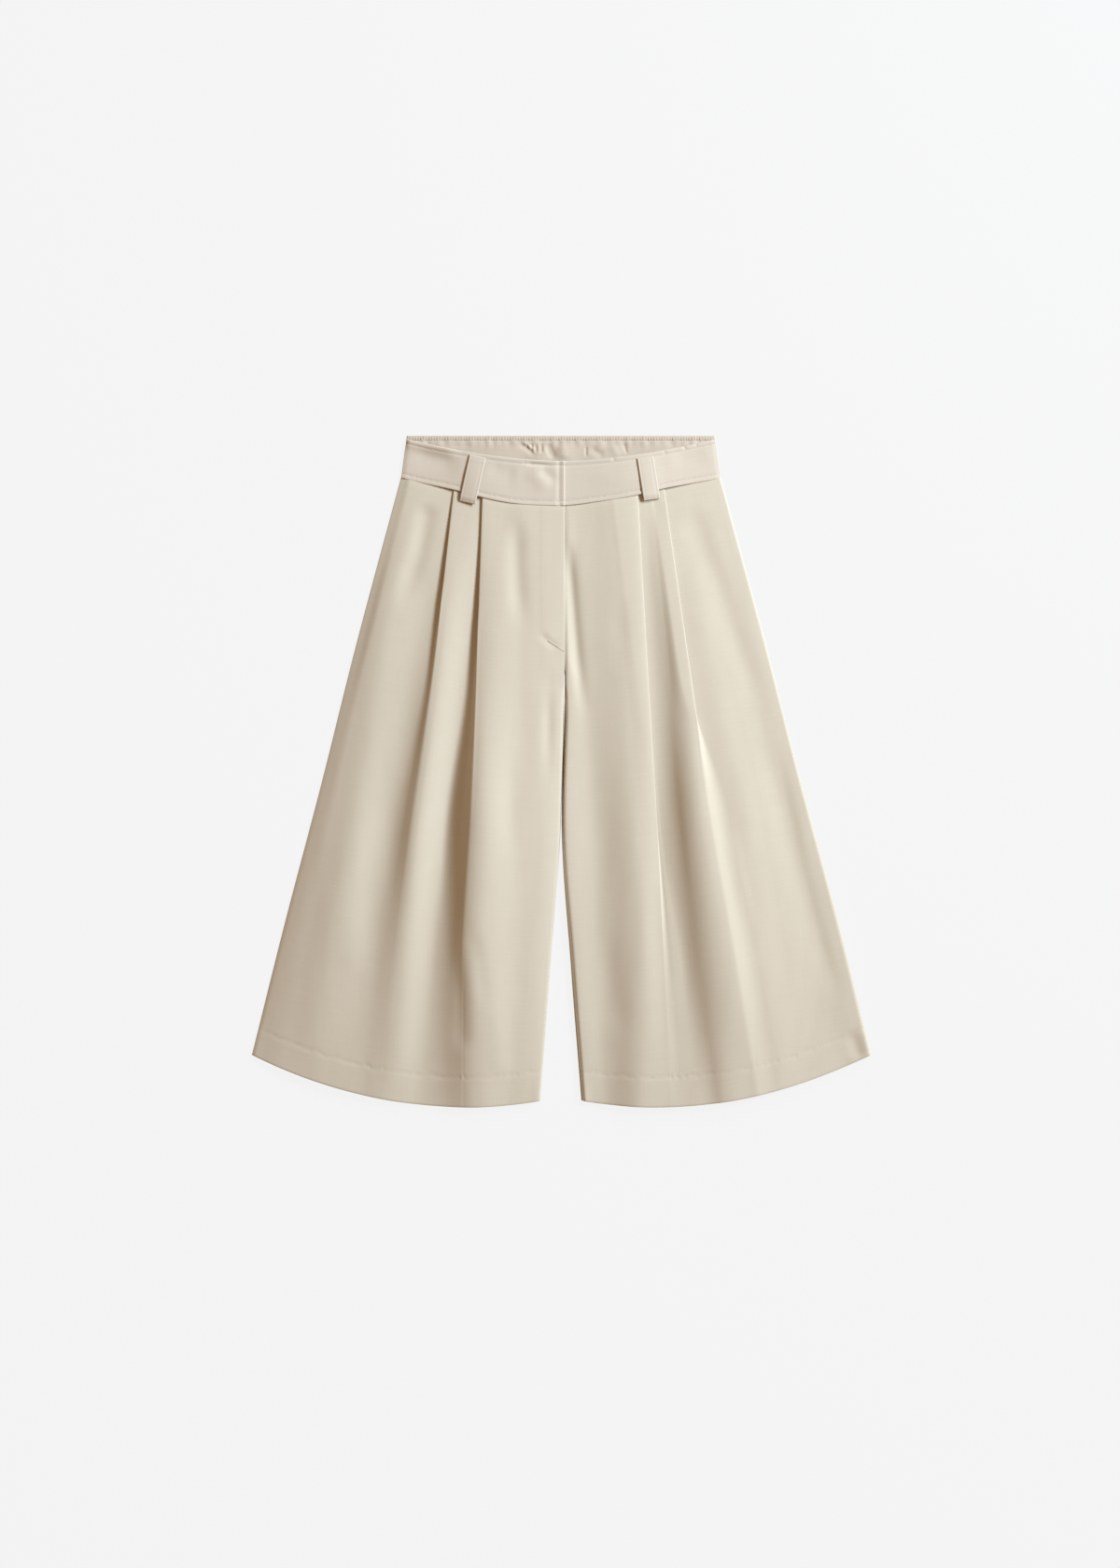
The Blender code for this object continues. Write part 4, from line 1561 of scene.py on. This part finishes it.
@dataclass
class FrontBand:
    """Half of the front waistband: a folded strip with a stitched welt along both edges, in mm.

    It starts at start, and its stitching stitched_from further out. end_sink is how far its end
    sinks to run under the lap, and lap_box is for the end that lies on top and is stitched round,
    with the rim's row drawn in along lap_width of it. hang is how far the band reaches down over
    the waist seam, and its outer end rolls down by side_roll. top_stitch and seam_stitch are the
    rows' distances from its edges.
    """

    name: str
    side: Side
    start: float
    stitched_from: float
    creases: tuple[Crease, ...]
    end_sink: float = 0.0
    lap_box: bool = False
    pucker_seed: int = 31
    height: float = 45.5
    column_width: float = 1.45
    row_height: float = 0.95
    thickness: float = 1.35
    side_roll: float = 0.55
    side_roll_run: float = 4.0
    lap_width: float = 41.0
    hang: float = 1.3
    top_stitch: float = 4.4
    seam_stitch: float = 4.6

    def grid(self) -> tuple[np.ndarray, np.ndarray, np.ndarray]:
        """The band's middle and each point's distances from its edges.

        Returns:
            The middle in mm, the distance below the rim and the distance above the lower edge.
        """
        across = self.start + clustered(WAIST_HALF - self.start, self.column_width)
        low = front_seam(self.side, across) - self.hang
        rise = clustered(self.height, self.row_height)[:, None] / self.height
        placed = narrowed(across, rise)
        high = front_rim(placed)
        along = low + (high - low) * rise
        sunk = self.end_sink * (1 - ease((across - SINK_FROM) / SINK_RUN))
        rolled = self.side_roll * ease(1 - (WAIST_HALF - across) / self.side_roll_run)
        height = band_height(across, rise) + BAND_LIFT - sunk - rolled
        points = np.stack((self.side.value * placed, along, height), axis=2)
        return points[::-1], (high - along)[::-1], (along - low)[::-1]

    def build(self, finish: bpy.types.Material, under: Sequence[str]) -> bpy.types.Object:
        """Args:
            finish: its material.
            under: the pieces that it lies on. Not used.

        Returns:
            The band.
        """
        middle, below_rim, above_seam = self.grid()
        x, y = middle[..., 0], middle[..., 1]
        middle[..., 2] += crease_lift(self.creases, x, y)
        from_end = np.abs(x - x[:, :1])
        half = self.thickness / 2
        full = rounded(below_rim, half) * rounded(above_seam, half) * rounded(from_end, half)
        shell = ClothShell(middle, self.thickness * full)
        shell.raise_top(self.stitch_relief(x, below_rim, above_seam, from_end))
        piece = shell.build(self.name + "_cloth")
        enter(piece, finish, self.name)
        return piece

    def stitch_relief(
        self, x: np.ndarray, below_rim: np.ndarray, above_seam: np.ndarray, from_end: np.ndarray
    ) -> np.ndarray:
        """Welts and drawn-in stitch lines on the outer side.

        Args:
            x: the points' places across.
            below_rim: their distances below the rim.
            above_seam: their distances above the lower edge.
            from_end: their distances from the end by the fly.

        Returns:
            The lift at each point, in mm.
        """
        top = PuckerRow(pitch=2.6, depth=0.16, reach=1.0, seed=self.pucker_seed)
        low = PuckerRow(pitch=4.2, depth=0.34, reach=1.5, seed=self.pucker_seed + 1)
        on_top, on_low = below_rim - self.top_stitch, above_seam - self.seam_stitch
        lift = top.lift(x, on_top) + RIM_STITCHED.lift(on_top)
        lift += low.lift(x, on_low) + SEAM_STITCHED.lift(on_low)
        if self.lap_box:
            lift += LAP_STITCHED.lift(from_end - LAP_STITCH)
            boxed = ease((self.lap_width - from_end) / 8.0)
            deeper = 0.3 + 0.9 * ease((from_end - 9.0) / 20.0)
            lift -= deeper * bell(on_top, 1.9) * boxed
        return lift

    def stitch_paths(self) -> list[np.ndarray]:
        """The two long rows of topstitching.

        Returns:
            The row below the rim and the row above the lower edge, as (x, y) in mm.
        """
        across = np.linspace(self.start + self.stitched_from, WAIST_HALF - 1.5, 130)
        at_rim = narrowed(across, 1.0)
        top_y = front_rim(at_rim) - self.top_stitch
        low_y = front_seam(self.side, across) - self.hang + self.seam_stitch
        side = self.side.value
        return [np.stack((side * at_rim, top_y), axis=1), np.stack((side * across, low_y), axis=1)]


@dataclass
class BackBand:
    """The back waistband, drawn in by its elastic: its inside shows in the waist opening.

    half_width is half its width at the rim, and at the seam its ends lie seam_inset inside the front
    band's. strip is the height of the elastic's strip along the rim. The folds sink no further than
    the share deepest of the thickness, and fullness is how far the whole side puffs up. All sizes
    are in mm.
    """

    name: str
    creases: tuple[Crease, ...]
    half_width: float = 156.3
    seam_inset: float = 0.4
    strip: float = 4.9
    thickness: float = 1.1
    floor_gap: float = 0.02
    columns: int = 330
    row_height: float = 0.85
    deepest: float = 0.6
    fullness: float = 0.5

    def build(self, finish: bpy.types.Material) -> bpy.types.Object:
        """Args:
            finish: its material.

        Returns:
            The band.
        """
        length = BACK_RIM - WAIST_SIDE
        rise = clustered(length, self.row_height)[:, None] / length
        seam_half = WAIST_HALF - self.seam_inset
        half = seam_half + (self.half_width - seam_half) * rise
        x = np.linspace(-1.0, 1.0, self.columns)[None, :] * half
        y = np.broadcast_to(WAIST_SIDE + length * rise, x.shape)
        height = np.full(x.shape, self.thickness / 2 + self.floor_gap)
        middle = np.stack((x, y, height), axis=2)[::-1]
        x, y = middle[..., 0], middle[..., 1]
        edge = self.thickness / 2
        full = rounded(BACK_RIM - y, edge) * rounded(y - WAIST_SIDE, edge)
        shell = ClothShell(middle, self.thickness * full)
        lift = self.gathers(x, y)
        deepest = self.deepest * self.thickness
        lift = np.where(lift < 0, -deepest * np.tanh(-lift / deepest), lift)
        shell.raise_top(lift * full)
        piece = shell.build(self.name + "_cloth")
        enter(piece, finish, self.name)
        return piece

    def gathers(self, x: np.ndarray, y: np.ndarray) -> np.ndarray:
        """The folds that the elastic draws, deepest below its strip.

        Args:
            x: places across, in mm.
            y: places along, in mm.

        Returns:
            The lift at each place, in mm.
        """
        below = BACK_RIM - y
        calm = ease((1 - np.abs(x) / self.half_width) / 0.12)
        wave = np.sin(x / 1.9 + 1.3 * np.sin(x / 11.0)) * np.sin(x / 7.3 + 2.0)
        fine = 0.35 * wave * bell(below - 7.0, 4.5)
        broad = 0.315 * np.sin(x / 6.4 + 1.7 * np.sin(x / 23.0)) * ease((below - 5.0) / 6.0)
        groove = -0.25 * bell(below - self.strip, 0.8)
        return (fine + broad + crease_lift(self.creases, x, y)) * calm + groove + self.fullness


@dataclass
class BeltLoop:
    """A belt loop: a folded strip, tacked at both ends and standing off the waistband, in mm.

    top and bottom are the middles of its two ends. lift is how far its cloth lies above the
    waistband's middle, stand how much further it arches up between its tacks, and droop how far its
    lower end comes down. Over tack at both ends the strip is folded under, and doubled thicker.
    """

    name: str
    top: tuple[float, float]
    bottom: tuple[float, float]
    width: float = 16.5
    stand: float = 0.9
    thickness: float = 1.15
    lift: float = 1.55
    droop: float = 0.9
    tack: float = 7.0
    doubled: float = 0.35

    def build(self, finish: bpy.types.Material, under: str) -> bpy.types.Object:
        """Args:
            finish: its material.
            under: the waistband that it is tacked to. Not used.

        Returns:
            The loop.
        """
        top, bottom = np.array(self.top), np.array(self.bottom)
        run = bottom - top
        length = float(np.linalg.norm(run))
        sideways = np.array((-run[1], run[0])) / length
        share = clustered(length, 1.0)[:, None] / length
        place = (clustered(self.width, 1.0) - self.width / 2)[None, :]
        x = top[0] + run[0] * share + sideways[0] * place
        y = top[1] + run[1] * share + sideways[1] * place
        low, high = waist_seam(x), front_rim(x)
        rise = np.clip((y - low) / (high - low), 0.0, 1.0)
        arch = self.stand * np.clip(np.sin(math.pi * share), 0.0, 1.0) ** 0.7
        drooped = self.droop * ease((self.tack - (1 - share) * length) / self.tack) ** 2
        height = band_height(x, rise) + self.lift + arch - drooped
        from_end = np.minimum(share, 1 - share) * length
        half = self.thickness / 2
        from_edge = self.width / 2 - np.abs(place)
        full = rounded(from_end, half) * rounded(from_edge, half)
        doubled = self.doubled * ease((self.tack - from_end) / 1.2)
        shell = ClothShell(np.stack((x, y, height), axis=2), (self.thickness + doubled) * full)
        shell.raise_top(-0.18 * bell(from_edge - 2.2, 0.7))
        piece = shell.build(self.name + "_cloth")
        enter(piece, finish, self.name)
        return piece


# ---------------------------------------------------------------------------- studio


@dataclass
class Studio:
    """A pale light table, a cool key light from the upper right, a warm fill, a camera above."""

    camera_height: float = 4.0
    framed_height: float = 1.596
    looks_at: tuple[float, float] = (-0.0009, -0.0133)
    key_power: float = 319.0
    key_colour: tuple[float, float, float] = (0.731, 0.878, 1.0)
    key_from: tuple[float, float, float] = (3.90, 1.70, 3.10)
    key_size: float = 1.2
    near_power: float = 23.5
    near_from: tuple[float, float, float] = (1.10, 1.30, 1.00)
    near_size: float = 0.5
    fill_strength: float = 0.355
    fill_colour: tuple[float, float, float] = (1.0, 0.67, 0.39)
    backdrop: float = 0.90
    floor_size: float = 60.0
    floor_drop: float = 0.0002
    floor_shade: float = 0.035
    floor_glow: float = 0.872

    def floor(self) -> None:
        """A wide pale light table just below the cloth, which swallows most of the shadow."""
        below = (0.0, 0.0, -self.floor_drop)
        bpy.ops.mesh.primitive_plane_add(size=self.floor_size, location=below)
        plane = bpy.context.object
        plane.name = "floor"
        made = bpy.data.materials.new("pale_floor")
        made.use_nodes = True
        board = Board(made.node_tree)
        shader = made.node_tree.nodes["Principled BSDF"]
        place = board.add("ShaderNodeTexCoord").outputs["Object"]
        grain = board.add("ShaderNodeTexNoise", Vector=place, Scale=900.0, Detail=2.0)
        bump = board.add("ShaderNodeBump", Strength=0.05, Distance=0.0001, Height=grain.outputs["Fac"])
        board.feed(shader.inputs["Normal"], bump.outputs["Normal"])
        shader.inputs["Base Color"].default_value = (*(self.floor_shade,) * 3, 1.0)
        shader.inputs["Roughness"].default_value = 1.0
        shader.inputs["Specular IOR Level"].default_value = 0.0
        shader.inputs["Emission Color"].default_value = (1.0, 1.0, 1.0, 1.0)
        shader.inputs["Emission Strength"].default_value = self.floor_glow
        made.cycles.emission_sampling = "NONE"
        plane.data.materials.append(made)
        plane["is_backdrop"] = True

    def lights(self) -> None:
        """Two cool soft lights, the nearer by the waist, and a warm fill behind a pale backdrop."""
        for name, power, place, size in (
            ("key", self.key_power, self.key_from, self.key_size),
            ("near", self.near_power, self.near_from, self.near_size),
        ):
            data = bpy.data.lights.new(name, "AREA")
            data.shape = "DISK"
            data.size = size
            data.energy = power
            data.color = self.key_colour
            light = bpy.data.objects.new(name, data)
            light.location = place
            light.rotation_euler = Vector(place).to_track_quat("Z", "Y").to_euler()
            bpy.context.scene.collection.objects.link(light)
        world = bpy.data.worlds.new("studio")
        world.use_nodes = True
        board = Board(world.node_tree)
        fill = world.node_tree.nodes["Background"]
        fill.inputs["Color"].default_value = (*self.fill_colour, 1.0)
        fill.inputs["Strength"].default_value = self.fill_strength
        seen = board.add("ShaderNodeBackground", Color=(1.0, 1.0, 1.0, 1.0), Strength=self.backdrop)
        path = board.add("ShaderNodeLightPath")
        both = board.add("ShaderNodeMixShader", Fac=path.outputs["Is Camera Ray"])
        board.feed(both.inputs[1], fill.outputs["Background"])
        board.feed(both.inputs[2], seen.outputs["Background"])
        board.feed(world.node_tree.nodes["World Output"].inputs["Surface"], both.outputs["Shader"])
        bpy.context.scene.world = world
        bpy.context.scene.view_settings.view_transform = "Standard"

    def camera(self) -> None:
        """A long lens straight above, framing the floor as the photo does."""
        data = bpy.data.cameras.new("camera")
        data.sensor_width = 36.0
        data.lens = data.sensor_width * self.camera_height / self.framed_height
        data.clip_end = 100.0
        camera = bpy.data.objects.new("camera", data)
        camera.location = (*self.looks_at, self.camera_height)
        bpy.context.scene.collection.objects.link(camera)
        bpy.context.scene.camera = camera


# ---------------------------------------------------------------------------- the garment


# The sewn rows, in mm, each with how many stretches or points its path is made of
FLY_ROW = ((-19.5, 268), (-20.5, 225), (-19.5, 170), (-18, 142), (-11.5, 131), (2.2, 122))
FLY_STEPS = 90
FLY_TACK = ((-12.5, 132), (3.0, 121.8))
TACK_STEPS = 20
HEM_ROW = (24.0, 300.0)  # from the inseam to the side seam, as distances from the middle line
HEM_POINTS = 160
LAP_ROW = (274.5, 310.5)  # from the waist seam to the rim
LAP_POINTS = 24
RIB_ROW = 153.0  # how far to either side the elastic's ribs reach
RIB_DROP = 2.5  # how far below the rim they lie
RIB_POINTS = 240


def hem_path(side: Side) -> np.ndarray:
    """The blind stitches' line above a hem, as (x, y) in mm."""
    across = np.linspace(*HEM_ROW, HEM_POINTS)
    return np.stack((side.value * across, hem(across) + HEM_DEPTH), axis=1)


def main() -> None:
    """Builds the garment piece by piece, then the studio round it."""
    logging.basicConfig(level=logging.INFO, format="%(name)s: %(message)s")
    wardrobe = Wardrobe()
    rows = RowMaker()

    mirrored = [crease.mirrored(wider=1.04, lower=14) for crease in BACK_CREASES]
    for name, side, folds, creases in (
        ("back_right", Side.RIGHT, RIGHT_FOLDS, mirrored),
        ("back_left", Side.LEFT, LEFT_FOLDS, BACK_CREASES),
    ):
        BackPanel(name, side, folds[0].across, folds[-1].across, creases).build(wardrobe.inside)

    right = FrontPanel(
        "front_right", Side.RIGHT, RIGHT_FOLDS, RIGHT_CREASES,
        fly_height=8.8, fly_thickness=0.95, underlap=0.0, swells=Unevenness(seed=5, height=0.16),
    ).build(wardrobe.panel, "back_right")
    left = FrontPanel(
        "front_left", Side.LEFT, LEFT_FOLDS, LEFT_CREASES,
        fly_height=7.3, fly_thickness=CLOTH, underlap=9.0, swells=Unevenness(seed=9, height=0.16),
    ).build(wardrobe.panel, "back_left")

    band_right = FrontBand(
        "waistband_front_right", Side.RIGHT, start=-LAP_END, stitched_from=LAP_STITCH,
        creases=RIGHT_BAND_CREASES, lap_box=True,
    )
    band_left = FrontBand(
        "waistband_front_left", Side.LEFT, start=-UNDERLAP, stitched_from=32.0,
        creases=LEFT_BAND_CREASES, end_sink=1.5, pucker_seed=41,
    )
    cloth_right = band_right.build(wardrobe.band, ["front_right_cloth"])
    cloth_left = band_left.build(wardrobe.band, ["front_left_cloth"])
    inside = BackBand("waistband_back", BACK_BAND_CREASES).build(wardrobe.inside)

    loop_right = BeltLoop("belt_loop_right", top=(-84.6, 319.4), bottom=(-95.0, 272.6))
    loop_left = BeltLoop("belt_loop_left", top=(85.5, 318.6), bottom=(92.4, 275.6))
    loop_right.build(wardrobe.band, cloth_right.name)
    loop_left.build(wardrobe.band, cloth_left.name)

    lap_y = np.linspace(*LAP_ROW, LAP_POINTS)
    lap = np.stack((np.full(lap_y.shape, LAP_END - LAP_STITCH), lap_y), axis=1)
    rib_x = np.linspace(-RIB_ROW, RIB_ROW, RIB_POINTS)
    rim = np.stack((rib_x, np.full(rib_x.shape, BACK_RIM - RIB_DROP)), axis=1)
    fly, tack = smooth_path(FLY_ROW, FLY_STEPS), smooth_path(FLY_TACK, TACK_STEPS)
    thread, elastic = wardrobe.thread, wardrobe.elastic
    for name, cloth, paths, sizes, lift, finish in (
        ("stitches_waistband_right", cloth_right, band_right.stitch_paths(), TOPSTITCH, 0.02, thread),
        ("stitches_waistband_left", cloth_left, band_left.stitch_paths(), TOPSTITCH, 0.02, thread),
        ("stitches_fly", right, [fly], FLY_STITCH, 0.0, thread),
        ("stitches_hem_right", right, [hem_path(Side.RIGHT)], BLIND_STITCH, 0.0, thread),
        ("stitches_hem_left", left, [hem_path(Side.LEFT)], BLIND_STITCH, 0.0, thread),
        ("bar_tack_fly", right, [tack], BAR_TACK, 0.05, thread),
        ("stitches_lap", cloth_right, [lap], TOPSTITCH, 0.02, thread),
        ("elastic_rim", inside, [rim], ELASTIC_RIB, -0.27, elastic),
    ):
        settled = [rows.settle(cloth, path, lift) for path in paths]
        enter(rows.rows(name, settled, sizes, finish), None)

    studio = Studio()
    studio.floor()
    studio.lights()
    studio.camera()

    sizes = {"cad": [list(corner) for corner in CAD_BOX], "visual": [list(c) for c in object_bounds()]}
    log.info("visual box %s", sizes["visual"])


if __name__ == "__main__":
    main()
